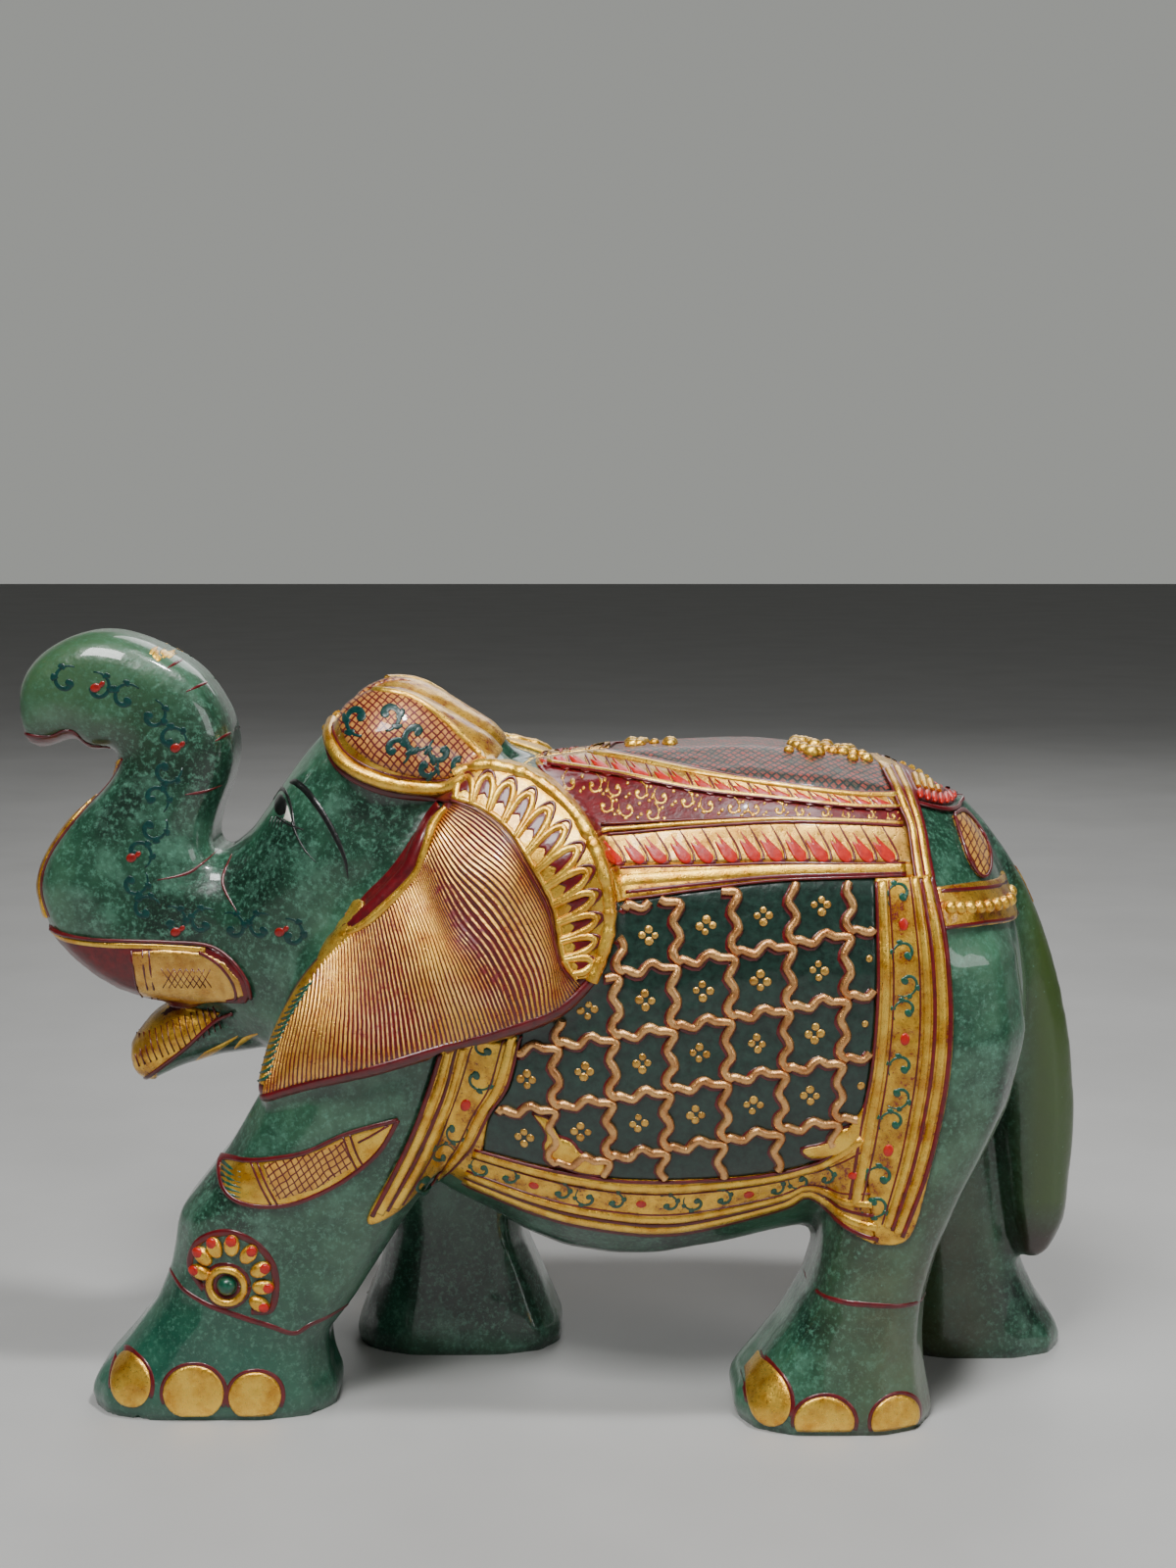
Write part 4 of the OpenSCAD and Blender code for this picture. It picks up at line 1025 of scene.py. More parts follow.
# ---- Ears ----
# Part of the stone, carved thin and fluted. The face is gilded and drawn with fine crimson pleats
# that run from the root to the lower edge; the back edge has a raised rim with open scallops.
PLEAT_GUIDES = [
    [(-12.7, 84.1), (-9.1, 82.9), (-5.4, 80.2), (-2.3, 75.7), (0.2, 71.1), (1.0, 66.6), (1.8, 63.8),
     (4.2, 61)],
    [(-14.5, 81.5), (-10.6, 77.5), (-5.8, 74), (-2.7, 69.1), (-0.2, 63.5), (0.6, 58.5),
     (0.8, 57.4)],
    [(-16.4, 77.5), (-12.5, 69.4), (-8.9, 65.1), (-6.5, 61.1), (-4.9, 56.9), (-4.6, 55.1)],
    [(-18.8, 73.8), (-15.6, 67.0), (-13.6, 61.2), (-12.0, 56.3), (-11.4, 53.3)],
    [(-23.8, 69.2), (-22.1, 60.7), (-21.3, 55.3), (-21, 50.6)],
    [(-29.6, 63.4), (-29.6, 58), (-30.5, 52), (-31.1, 47.7)],
    [(-35.4, 55.6), (-36.2, 52.2), (-37.3, 48), (-37.9, 45.1)]]
PLEATS_SO_FAR = [0, 10, 19, 31, 46, 62, 75]
FOLD_RISE = 0.8
FLUTE_RISE = 0.09
SAMPLES_A_PLEAT = 6


def loft(guides, across, rows):
    """Points between guide lines, with one column for each value of `across`."""
    stack = np.array([along(smooth_path(guide), np.linspace(0, 1, rows)) for guide in guides])
    whole = np.minimum(across.astype(int), len(guides) - 2)
    t = (across - whole)[:, None, None]
    p, q = stack[np.maximum(whole - 1, 0)], stack[whole]
    r, s = stack[whole + 1], stack[np.minimum(whole + 2, len(guides) - 1)]
    return 0.5 * (2 * q + (r - p) * t + (2 * p - 5 * q + 4 * r - s) * t ** 2
                  + (3 * q - p - 3 * r + s) * t ** 3)


pleats = np.linspace(0, PLEATS_SO_FAR[-1], PLEATS_SO_FAR[-1] * SAMPLES_A_PLEAT + 1)
fan = np.interp(pleats, PLEATS_SO_FAR, range(len(PLEAT_GUIDES)))
ear_rows = 46
down = np.linspace(0, 1, ear_rows)
sheet = loft(PLEAT_GUIDES, fan, ear_rows)
broad = np.cos(math.pi * (fan - 1)) * np.interp(fan, [0, 0.6, 3.4, 4.5, 6], [0.2, 1, 1, 0.5, 0.35])
swell = np.sin(math.pi * np.clip(down * 0.85 + 0.08, 0, 1)) ** 0.7
folded = broad[:, None] * swell[None, :]
fluted = FLUTE_RISE * np.cos(2 * math.pi * pleats)[:, None] * np.ones(ear_rows)[None, :]
rise = 0.42 + FOLD_RISE * 0.5 * (1 + folded) * swell[None, :] + fluted
rise[0, :] = rise[-1, :] = 0.1
rise[:, 0] = rise[:, -1] = 0.1

pleat_gold, tree, shader, spot = finish_of("pleated_ear_gold", Coat_Weight=0.7, Coat_Roughness=0.07)
gold = put(tree, "ShaderNodeGroup", {}, node_tree=leaf_gold)
gold.inputs["Wear"].default_value = 0.3
gold.inputs["Light gold"].default_value = (1.0, 0.55, 0.10, 1)
gold.inputs["Deep gold"].default_value = (0.72, 0.30, 0.035, 1)
wire(tree, (spot, gold.inputs["Spot"]))
fan_spot = put(tree, "ShaderNodeSeparateXYZ",
               {"Vector": put(tree, "ShaderNodeUVMap", {}, uv_map="pleats").outputs[0]}).outputs
waver = grain_of(tree, spot, 3 * MM, 2)
phase = calc(tree, "MULTIPLY", fan_spot["X"], float(PLEATS_SO_FAR[-1]))
phase = calc(tree, "MULTIPLY_ADD", waver, 0.5, phase)
phase = calc(tree, "FRACT", phase)
off_line = calc(tree, "ADD", phase, -0.5)
off_line = calc(tree, "ABSOLUTE", off_line)
# Painted shade: the crimson pleat lines widen and smear in the valleys of the broad folds,
# darkening the gold there as shade would.
painted_valley_shade = put(tree, "ShaderNodeAttribute", {}, attribute_name="painted_valley_shade").outputs["Fac"]
broken = grain_of(tree, spot, 1.1 * MM, 3, 0.7)
width = calc(tree, "MULTIPLY_ADD", painted_valley_shade, 0.20, 0.07)
width = calc(tree, "MULTIPLY_ADD", broken, 0.22, width)
outer = calc(tree, "ADD", width, 0.07)
line = put(tree, "ShaderNodeMapRange", {"Value": off_line, "From Min": outer,
                                        "From Max": width}).outputs[0]
valley_shade_smear = calc(tree, "MULTIPLY", painted_valley_shade, broken)
valley_shade_smear = ramp(tree, valley_shade_smear, grey(0.40, 0.56))
line = calc(tree, "MAXIMUM", line, valley_shade_smear)
red = ramp(tree, broken, [(0.3, (0.055, 0.001, 0.003)), (0.7, (0.17, 0.003, 0.006))])
wire(tree, (blend_colours(tree, line, gold.outputs["Colour"], red), shader.inputs["Base Color"]),
     (gold.outputs["Roughness"], shader.inputs["Roughness"]))
bright = calc(tree, "SUBTRACT", 1.0, line)
wire(tree, (product(tree, bright, gold.outputs["Gold"]), shader.inputs["Metallic"]))
bumped(tree, shader, gold.outputs["Height"], GRAIN_OF_GOLD, 0.8)


class PleatedFace(Drawing):
    """The ear's face, with a map that runs along its pleats and the depth of its valleys, which
    sets where crimson painted shade darkens the gold.
    """

    def mesh(self, name):
        made = super().mesh(name)
        layer = made.uv_layers.new(name="pleats")
        corner = np.empty(len(made.loops), dtype=np.int32)
        made.loops.foreach_get("vertex_index", corner)
        uv = np.stack([pleats[corner // ear_rows] / pleats[-1], down[corner % ear_rows]], axis=1)
        layer.data.foreach_set("uv", uv.ravel())
        held = made.attributes.new("painted_valley_shade", "FLOAT", "POINT")
        held.data.foreach_set("value", np.clip(0.5 - 0.5 * folded, 0, 1).ravel())
        return made


ear_drawing = PleatedFace()
columns = len(pleats)
for c in range(columns):
    for r in range(ear_rows):
        ear_drawing.points.append((*sheet[c, r], rise[c, r]))
for c in range(columns - 1):
    for r in range(ear_rows - 1):
        a = c * ear_rows + r
        ear_drawing.faces.append((a, a + 1, a + ear_rows + 1, a + ear_rows))
ear_wide = ear_outline + np.sign(ear_outline - ear_outline.mean(axis=0)) * 0.55
for side, word in NAMED_SIDES:
    coat(f"red_ear_edge_{word}", ear_wide, side, 0.2, dark_red, [], "crimson_lacquer", reach=14)
lay("pleated_ear_faces", ear_drawing, paint_tree, pleat_gold, both_sides("ear_gilding"),
    "ear_gilding")

rim_inner = smooth_path(PLEAT_GUIDES[0][:-1] + [(3.4, 61.8)])
rim_outer = smooth_path([(-12.6, 86.9), (-9, 88.4), (-5.2, 87.9), (-1.3, 86.4), (3.6, 82.3),
                         (6.8, 76.6), (7.9, 70), (6.9, 65), (5.4, 61.6)])
rim_ground = np.concatenate([rim_inner, rim_outer[::-1] + (0.5, 0.3)])
for side, word in NAMED_SIDES:
    coat(f"rim_ground_{word}", rim_ground, side, GESSO_RISE, bright_gold, [], "raised_gold",
         reach=12, edge=0.6)

SCALLOPS = 12


def on_rim(share, across):
    return along(rim_inner, share) * (1 - across) + along(rim_outer, share) * across


horseshoes, pits, pit_lines, rim_rope = Lines(), Drawing(), Drawing(), Lines()
for k in range(SCALLOPS):
    middle, half = (k + 0.6) / (SCALLOPS + 0.4), 0.5 / (SCALLOPS + 0.4)
    shape = [(-0.86, 0.06), (-0.84, 0.34), (-0.68, 0.56), (-0.34, 0.70), (0, 0.74), (0.34, 0.70),
             (0.68, 0.56), (0.84, 0.34), (0.86, 0.06)]
    arch = smooth_path([on_rim(middle + half * u, v) for u, v in shape], 4)
    thick = np.interp(np.linspace(0, 1, len(arch)), [0, 0.2, 0.5, 0.8, 1],
                      [0.42, 0.62, 0.46, 0.62, 0.42])
    horseshoes.path(arch, thick)
    around = smooth_path([on_rim(middle + half * u * 1.12, v * 1.13 + 0.02)
                          for u, v in shape[1:-1]], 4)
    pit_lines.stroke(around, [0.3, 0.5, 0.3], 0.3)
    pit = [on_rim(middle + half * u, v) for u, v in
           ((-0.56, 0.26), (-0.56, 0.46), (-0.3, 0.63), (0.05, 0.66), (0.4, 0.58), (0.58, 0.4),
            (0.54, 0.26), (0.05, 0.34))]
    pits.pad(smooth_path(pit + pit[:1], 3)[:-1], 0.12)
rim_rope.path(smooth_path([on_rim(s, 0.97) for s in np.linspace(0, 1, 12)], 4), 0.95)
rim_rope.path(smooth_path([on_rim(s, 0.06) for s in np.linspace(0, 1, 12)], 4), 0.42)
lay("scallops_of_the_rim", horseshoes, cord_tree, bright_gold, both_sides("ear_scallops"),
    "raised_gold", BAND_RISE, Unevenness=0.3)
lay("rope_of_the_rim", rim_rope, cord_tree, bright_gold, both_sides("ear_rim"), "raised_gold", 0.45,
    Unevenness=0.9)
lay("scallop_pits", pits, paint_tree, crimson, [], "crimson_lacquer", GESSO_RISE + HAIR)
lay("scallop_outlines", pit_lines, paint_tree, dark_red, [], "crimson_lacquer", GESSO_RISE)

ear_lines, root_gold, front_hatch = Drawing(), Drawing(), Drawing()
root_path = smooth_path([(-13.6, 83), (-15.2, 80.9), (-16.6, 77), (-18.2, 73.8), (-23.4, 68.6),
                         (-26.6, 66.4)])
ear_lines.stroke(root_path + (-1.1, 0.3), [0.8, 1.4, 1.8, 1.0], 0.5)
ear_lines.stroke(rim_inner + (-0.4, -0.2), 0.4, 0.5)
root_gold.stroke(root_path, [0.5, 1.1, 0.9, 1.3, 0.7], 0.7)
lower_edge = smooth_path([(6.4, 62.8), (1.3, 57.9), (-7, 54.5), (-15, 52.3), (-23, 49.9),
                          (-30, 47.8), (-34.8, 46.1), (-38, 44.8)])
ear_lines.stroke(lower_edge, [1.0, 1.6, 1.4, 1.2, 0.9], 0.5)
front_edge = smooth_path([(-26.6, 66.6), (-31.3, 61.8), (-34.6, 57), (-37.4, 51.5), (-38.8, 46.4)])
root_gold.stroke(front_edge + (0.6, 0), [0.7, 1.3, 1.1, 0.8], 0.35)
ragged = [(-30.8, 62.6), (-29.8, 64.9), (-28.8, 65.6), (-28, 67.6), (-26.9, 68.4), (-26.2, 70.4),
          (-24.6, 70.3), (-24.9, 68.6), (-26, 67), (-27.2, 65.4), (-29, 63.6)]
root_gold.pad(smooth_path(ragged + ragged[:1], 2)[:-1], 0.4)
for k in range(15):
    at = along(front_edge, 0.4 + 0.56 * k / 14) + (1.1, -0.3)
    front_hatch.stroke([at + (-0.9, -0.5), at, at + (0.9, 0.9)], [0.2, 0.34, 0.2], 0.2)
lay("crimson_lines_of_the_ear", ear_lines, paint_tree, dark_red, [], "crimson_lacquer", 0.4)
lay("gold_root_of_the_ear", root_gold, paint_tree, bright_gold, [], "raised_gold", 0.4)
lay("green_ticks_on_the_ear", front_hatch, paint_tree, leaf_green, [], "green_ground", 0.7)

# ---- Hatched grounds: skull caps, spine panel, leaves ----
# A peach gold ground with a crossed net of crimson lines put on with a hair brush, and teal
# scrolls over it.
net, net_in, net_out = effect(
    "crossed brush lines",
    [("Spot", (0, 0, 0)), ("Spacing", 0.8 * MM), ("First lean", (1, 0.3, 0.9)),
     ("Second lean", (1, -0.2, -0.8)), ("Line", 0.16)],
    [("Mask", "NodeSocketFloat")])
masks = []
for key in ("First lean", "Second lean"):
    unit = put(net, "ShaderNodeVectorMath", {0: net_in.outputs[key]},
               operation="NORMALIZE").outputs[0]
    run = put(net, "ShaderNodeVectorMath", {0: net_in.outputs["Spot"], 1: unit},
              operation="DOT_PRODUCT").outputs["Value"]
    run = calc(net, "DIVIDE", run, net_in.outputs["Spacing"])
    drift = grain_of(net, net_in.outputs["Spot"], 4 * MM, 2)
    run = calc(net, "MULTIPLY_ADD", drift, 1.2, run)
    run = calc(net, "FRACT", run)
    run = calc(net, "ADD", run, -0.5)
    run = calc(net, "ABSOLUTE", run)
    wide = calc(net, "ADD", net_in.outputs["Line"], 0.06)
    masks.append(put(net, "ShaderNodeMapRange",
                     {"Value": run, "From Min": wide,
                      "From Max": net_in.outputs["Line"]}).outputs[0])
wire(net, (calc(net, "MAXIMUM", masks[0], masks[1]),
           net_out.inputs["Mask"]))


def hatched(name, ground, deep, spacing, line, first=(1, 0.3, 0.9), second=(1, -0.2, -0.8),
            ink=(0.11, 0.002, 0.005), coat_share=0.6):
    made, tree, shader, spot = finish_of(name, Metallic=0.2, Roughness=0.45, Coat_Weight=coat_share,
                                         Coat_Roughness=0.06)
    lines = put(tree, "ShaderNodeGroup", {}, node_tree=net)
    lines.inputs["Spacing"].default_value = spacing * MM
    lines.inputs["Line"].default_value = line
    lines.inputs["First lean"].default_value = first
    lines.inputs["Second lean"].default_value = second
    wire(tree, (spot, lines.inputs["Spot"]))
    under = ramp(tree, grain_of(tree, spot, 1.6 * MM, 4), [(0.3, deep), (0.7, ground)])
    wire(tree, (blend_colours(tree, lines.outputs["Mask"], under, ink),
                shader.inputs["Base Color"]))
    bumped(tree, shader, grain_of(tree, spot, 0.6 * MM, 3), 0.06 * MM)
    return made


cap_net = hatched("cap_net", (0.72, 0.32, 0.07), (0.36, 0.12, 0.02), 0.85, 0.11)
leaf_net = hatched("leaf_net", (0.80, 0.42, 0.07), (0.50, 0.21, 0.02), 0.9, 0.08, (1, 0, 0.5),
                   (1, 0, -1.2))
spine_net = hatched("spine_net", (0.36, 0.030, 0.016), (0.02, 0.05, 0.032), 0.9, 0.13, (1, 0.9, 0),
                    (1, -0.8, 0), (0.001, 0.016, 0.013), 0.12)
cap_outline = smooth_path([(-31.4, 92.9), (-30.2, 91), (-27.2, 87.4), (-23.3, 85.8), (-19, 84.8),
                           (-13.4, 84.6), (-10.6, 86), (-8, 88), (-5, 94), (-10, 101), (-20, 102),
                           (-28, 100)])
cap_inner = smooth_path([(-28.6, 93.9), (-27.4, 96.6), (-23, 98), (-18.5, 97), (-14.6, 93.8),
                         (-11.0, 90.6), (-8.9, 88.7), (-11.5, 87), (-15.7, 86.6), (-19.4, 87.4),
                         (-23.5, 89), (-27, 91.4)])
coat("gold_skull_caps", cap_outline, BOTH, PAINT_RISE, border_gold, both_sides("cap_rim"),
     "raised_gold")
for side, word in NAMED_SIDES:
    coat(f"cap_net_{word}", cap_inner, side, GESSO_RISE, cap_net, [f"cap_ground_{word}"],
         "cap_ground", reach=3.2)
cap_ropes, cap_lines, cap_scrolls = Lines(), Drawing(), Drawing()
lower_rim = smooth_path([(-29.4, 94.6), (-30, 92.6), (-27.8, 89.2), (-23.6, 87), (-19.2, 85.8),
                         (-13.6, 85.4), (-11, 86.8)])
upper_rim = smooth_path([(-29, 95), (-27.2, 96.8), (-24, 97.6), (-19.4, 97), (-15.6, 94.8),
                         (-12, 91.7), (-9, 88.8)])
cap_ropes.path(lower_rim, 0.95)
cap_ropes.path(upper_rim, 0.6)
cap_lines.stroke(lower_rim + (-0.3, -1.3), 1.0, 0.2)
cap_lines.stroke(lower_rim + (0.5, 1.1), 0.3, 0.2)
for centre, size, turn, hand in (((-25.4, 94.3), 1.9, 0.4, 1), ((-21.6, 94.8), 1.7, 2.9, -1),
                                 ((-18, 92.4), 1.9, 0.9, 1), ((-20.6, 90.6), 1.8, 3.6, -1),
                                 ((-14.8, 90.2), 1.6, 0.5, -1), ((-16.6, 88.3), 1.4, 2.2, 1),
                                 ((-12.4, 88.6), 1.2, 1.5, 1)):
    curl(cap_scrolls, centre, size * 1.1, turn, hand, 0.8, 0.1)
lay("ropes_of_the_caps", cap_ropes, cord_tree, bright_gold, [], "raised_gold", 0.4, Unevenness=0.25)
lay("lines_of_the_caps", cap_lines, paint_tree, dark_red, [], "crimson_lacquer", PAINT_RISE)
lay("teal_scrolls_on_the_caps", cap_scrolls, paint_tree, teal, [], "green_ground", GESSO_RISE)

# ---- Back: spine panel, beads, rump ----
# The painter's net continues over the spine. Clusters of gesso beads stand on the crest of the
# skull, behind the shoulders and before the rear band; a short fringe hangs behind it.
panel = np.array(panel_edge + [(44.6, 90), (40, 96), (2, 96), (-4, 92)])
coat("spine_net", panel, BOTH, PAINT_RISE, spine_net, ["spine_panel"], "green_ground",
     without=[cap_outline])
spine_beads, crest_beads, pearls = Lines(), Lines(), Lines()
for low, high, count in ((11, 16.5, 9), (32.5, 43.5, 34)):
    for k in range(count):
        spine_beads.dot(brush.uniform(low, high), brush.uniform(-8, 8) * (0.4 if count < 10 else 1),
                        brush.uniform(0.7, 1.25))
for k in range(30):
    share = k / 29
    crest_beads.dot(-31.5 + 23.5 * share, brush.uniform(-2.2, 2.2), brush.uniform(0.6, 1.05))
for k in range(9):
    pearls.dot(52.4 + 11 * k / 8, 70.3 - 0.9 * k / 8, 0.95)
lay("gesso_beads_on_the_spine", spine_beads, bead_tree, bright_gold, ["spine_beads"], "raised_gold",
    0.4, ("top",), Flatness=0.9)
lay("gesso_beads_on_the_crest", crest_beads, bead_tree, bright_gold, ["crest_beads"], "raised_gold",
    PAINT_RISE, ("top",), Flatness=0.9)
crupper = smooth_path([(50.6, 73), (57, 73), (66, 71.6), (70, 70), (70, 66.4), (66, 66.6),
                       (57, 67.6), (51.4, 67.7)])
fringe = [(48.6, 85.6), (47, 90), (57, 90), (58.4, 83), (56, 81.8), (53, 82.3), (49.4, 83.4)]
leaf = smooth_path([(54.4, 81), (57, 80.6), (59.6, 77.4), (59.4, 74.6), (57.6, 73.4), (55.6, 76),
                    (54.4, 81)])
rump_lines, rump_tips, rump_gold = Drawing(), Drawing(), Lines()
stone_tree = BVHTree.FromPolygons(stone_points.tolist(), stone_faces.tolist())


def off_the_stone(side, least):
    """Whether a point in side view misses the stone, or meets it nearer the middle than `least`."""
    def missed(point):
        start = Vector((point[0] * MM, side * 0.2, point[1] * MM))
        met = stone_tree.ray_cast(start, Vector((0, -side, 0)))[0]
        return met is None or side * met.y < least * MM
    return missed


for side, word in NAMED_SIDES:
    coat(f"crupper_ground_{word}", crupper, side, BAND_RISE, border_gold,
         ["crupper_band"] if side == LEFT else [], "border_gilding", reach=4)
    coat(f"rump_leaf_{word}", leaf, side, PAINT_RISE, leaf_net,
         ["rump_leaves"] if side == LEFT else [], "leaf_ornament", reach=4)
coat("rump_fringe_ground", fringe, BOTH, GESSO_RISE, crimson, ["rump_fringe"], "crimson_lacquer")
for lift in (1.9, -2.2):
    path = smooth_path([(51.2, 70.3 + lift * 1.1), (57, 70.2 + lift), (66, 69 + lift)])
    for run in clear_runs(path, off_the_stone(LEFT, 5)):
        rump_lines.stroke(run, 0.5, 0.15)
rump_lines.stroke(leaf, 0.35, 0.15)
rump_lines.stroke(smooth_path([(48.8, 83), (53, 81.8), (56.4, 81.4), (58.6, 82.6)]), 0.4, 0.15)
for k in range(8):
    x = 49.6 + 1.05 * k
    z = np.interp(x, [49, 53, 56.4, 58.4], [84.4, 83.2, 82.9, 84.2])
    rump_gold.path([(x, z + 1.6), (x + 0.1, z + 0.9), (x + 0.1, z + 0.1)], [0.5, 0.62, 0.4])
    rump_tips.pad(oval((x + 0.1, z - 0.5), 0.42, 0.5, 0), 0.3)
lay("lines_on_the_rump", rump_lines, paint_tree, dark_red, [], "crimson_lacquer", BAND_RISE)
lay("fringe_of_the_rump", rump_gold, cord_tree, bright_gold, [], "raised_gold", GESSO_RISE,
    Unevenness=0.3)
lay("red_tips_of_the_fringe", rump_tips, paint_tree, bright_red, [], "crimson_lacquer", GESSO_RISE)
lay("pearls_of_the_crupper", pearls, bead_tree, bright_gold, ["crupper_pearls"], "pearl_dots",
    BAND_RISE, Flatness=0.85)

# ---- Face: eyes, brows, tusks, jaw, trunk ----
# All painted straight onto the polished stone: black eyes with a white corner, long brows, red
# tusks with a gold band, a gilded jaw and a gilded strip down the front of the trunk.
black = lacquer("black_enamel", (0.002, 0.002, 0.002), (0.008, 0.008, 0.008), 0.5)
white = lacquer("white_enamel", (0.50, 0.48, 0.42), (0.70, 0.68, 0.60), 0.5)
eyes, eye_whites, brows = Drawing(), Drawing(), Drawing()
eyes.pad(oval((-36.9, 82.3), 1.15, 1.25, 0.3), 0.14)
eyes.stroke(smooth_path([(-38.6, 82.4), (-37.6, 83.9), (-36.2, 83.9), (-35.2, 82.4), (-34.6, 80.4),
                         (-34.2, 79)]),
            [0.2, 0.5, 0.45, 0.35, 0.12], 0.14)
eyes.stroke(smooth_path([(-37.4, 80.9), (-35.8, 80.3), (-34.4, 79.9), (-33.2, 79.6)]),
            [0.2, 0.3, 0.3, 0.1], 0.12)
eyes.stroke(smooth_path([(-34.9, 80.6), (-34.2, 78.9), (-33, 77), (-31.4, 75.4)]),
            [0.3, 0.3, 0.2, 0.08], 0.12)
for k in range(5):
    eyes.stroke([(-38 + 0.55 * k, 80.8), (-38.3 + 0.5 * k, 80.1), (-38.4 + 0.5 * k, 79.4)],
                [0.14, 0.12, 0.05], 0.1)
eye_whites.pad([(-36.2, 80.7), (-35.3, 80.5), (-34.8, 80.4), (-35.2, 81.4), (-35.7, 82.5),
                (-35.9, 81.6)], 0.12)
brows.stroke(smooth_path([(-35.8, 85.2), (-34.6, 85.4), (-32.8, 84.4), (-30.8, 82.2), (-28.8, 79),
                          (-27.5, 76), (-27.1, 73.4)]), [0.25, 0.9, 0.95, 0.85, 0.8, 0.5, 0.12],
             0.14)
lay("painted_eyes", eyes, paint_tree, black, ["eyes"], "black_line", ON_STONE)
lay("whites_of_the_eyes", eye_whites, paint_tree, white, [], "black_line", 0.02)
lay("painted_brows", brows, paint_tree, black, ["eyebrows"], "black_line", ON_STONE)

tusk = [(-71, 65), (-64, 63.9), (-53, 63.5), (-47.2, 63.1), (-44, 61.5), (-41.6, 58.7), (-41, 56.5),
        (-41.8, 55.2), (-48, 54.6), (-54, 51), (-66, 52)]
tusk_gold = [(-57.6, 62.2), (-53, 62.6), (-47.4, 62.2), (-44.4, 60.8), (-42.3, 58.4), (-41.8, 56.4),
             (-44, 55.2), (-50, 54.4), (-57, 55.4)]
for side, word in NAMED_SIDES:
    coat(f"red_tusk_{word}", tusk, side, PAINT_RISE, crimson, [f"tusk_band_{word}"],
         "crimson_lacquer", reach=3)
    coat(f"tusk_gold_{word}", tusk_gold, side, BAND_RISE, pale_gold, [], "border_gilding", reach=3)
tusk_lines, tusk_rims = Drawing(), Drawing()
tusk_rims.stroke(smooth_path([(-70, 64.1), (-64, 63.2), (-53, 62.9), (-47.3, 62.5)]), 0.7, 0.12)
tusk_lines.stroke(smooth_path([(-71, 64.9), (-64, 63.9), (-53, 63.6), (-47.2, 63.2), (-43.8, 61.6),
                               (-41.4, 58.8), (-40.8, 56)]), 0.45, 0.14)
for x in (-57.4, -55.9, -55.0):
    tusk_lines.stroke([(x, 62.4), (x + 0.1, 60), (x + 0.3, 57), (x + 0.4, 55.2)], 0.3, 0.1)
tusk_lines.stroke(smooth_path([(-48.2, 62.2), (-45.2, 60.4), (-43.4, 58.2), (-43, 56),
                               (-44.4, 55.4)]), 0.45, 0.1)
for k in range(7):
    x = -53.4 + 0.85 * k
    tusk_lines.stroke([(x, 57.2), (x + 0.9, 58.6), (x + 1.7, 59.9)], 0.14, 0.08)
    tusk_lines.stroke([(x + 1.7, 57.3), (x + 0.9, 58.6), (x, 60)], 0.14, 0.08)
jaw = [(-52.4, 53.6), (-62, 53.4), (-63, 42), (-57, 40), (-55.4, 44.2), (-51.5, 47.3),
       (-47.5, 50.8), (-46, 53)]
coat("gilded_jaw", jaw, BOTH, PAINT_RISE, border_gold, ["jaw_gilding"], "border_gilding", edge=0.3)
for k in range(15):
    x = -58.2 + 0.85 * k
    tusk_lines.stroke([(x - 0.5, 45.4 + 0.42 * k + 3.0), (x, 44 + 0.42 * k + 2.2),
                       (x + 0.5, 43.2 + 0.42 * k + 1.6)],
                      0.16, 0.08)
tusk_lines.stroke(smooth_path([(-57.6, 42.6), (-56, 44), (-51.5, 47.5), (-47.5, 51),
                               (-43.8, 53.5)]), 0.5, 0.12)
lay("lines_on_the_tusks_and_jaw", tusk_lines, paint_tree, dark_red, [], "crimson_lacquer",
    BAND_RISE)
lay("gold_rims_of_the_tusks", tusk_rims, paint_tree, bright_gold, [], "raised_gold", 0.36)

front = smooth_path([(-60.0, 87.8), (-62.4, 84.4), (-66.6, 79.7), (-70.7, 74.2), (-71.9, 69.6),
                     (-70.8, 65.6)])
front_outline = np.concatenate([front + (-2, -1), (front + (1.0, 0.5))[::-1]])
coat("gilded_trunk_front", front_outline, BOTH, 0.4, border_gold, ["trunk_front_gilding"],
     "border_gilding")
lips = smooth_path([(-73.8, 91.4), (-69.2, 90.8), (-67, 91.6), (-65.4, 91.4), (-64, 89.8),
                    (-61, 89)])
lips_outline = np.concatenate([lips + (0, 0.7), (lips + (-0.4, -1.6))[::-1]])
coat("red_lips", lips_outline, BOTH, 0.25, dark_red, ["trunk_tip_lips"], "crimson_lacquer",
     edge=0.25)
trunk_lines, gold_smear = Drawing(), Drawing()
trunk_lines.stroke(front + (1.1, 0.6), [0.5, 0.55, 0.8, 0.7], 0.12)
for crease in ([(-52.5, 100.7), (-51, 101.7), (-49.8, 102.4)],
               [(-49.8, 97.6), (-47.6, 98.6), (-45.9, 99.3)],
               [(-46, 90.8), (-44.4, 91.6), (-42.8, 92)],
               [(-50, 83.6), (-47.6, 83.9), (-45.5, 84.5)],
               [(-53.9, 72), (-50, 72.8), (-48, 74), (-46.4, 75.3)],
               [(-44.2, 75), (-45, 71.5), (-42.7, 67.8)]):
    trunk_lines.stroke(smooth_path(crease), [0.1, 0.42, 0.34, 0.08], 0.1)
for k in range(9):
    gold_smear.pad(oval((-54.6 + 0.42 * k, 102.6 + brush.uniform(-0.5, 0.5)), 0.5, 0.34,
                        brush.uniform(0, 3)), 0.08)
chin_gold = Drawing()
chin_gold.stroke(smooth_path([(-50.5, 44.6), (-48.4, 46.4), (-46, 48), (-43.6, 49.6)]),
                 [0.3, 1.1, 0.7, 0.2], 0.1)
chin_gold.stroke(smooth_path([(-44.4, 47.4), (-42.8, 49), (-40.6, 50.4)]), [0.2, 0.8, 0.2], 0.1)
lay("gold_marks_under_the_chin", chin_gold, paint_tree, bright_gold, [], "raised_gold", ON_STONE)
lay("red_lines_on_the_trunk", trunk_lines, paint_tree, dark_red, [], "crimson_lacquer", ON_STONE)
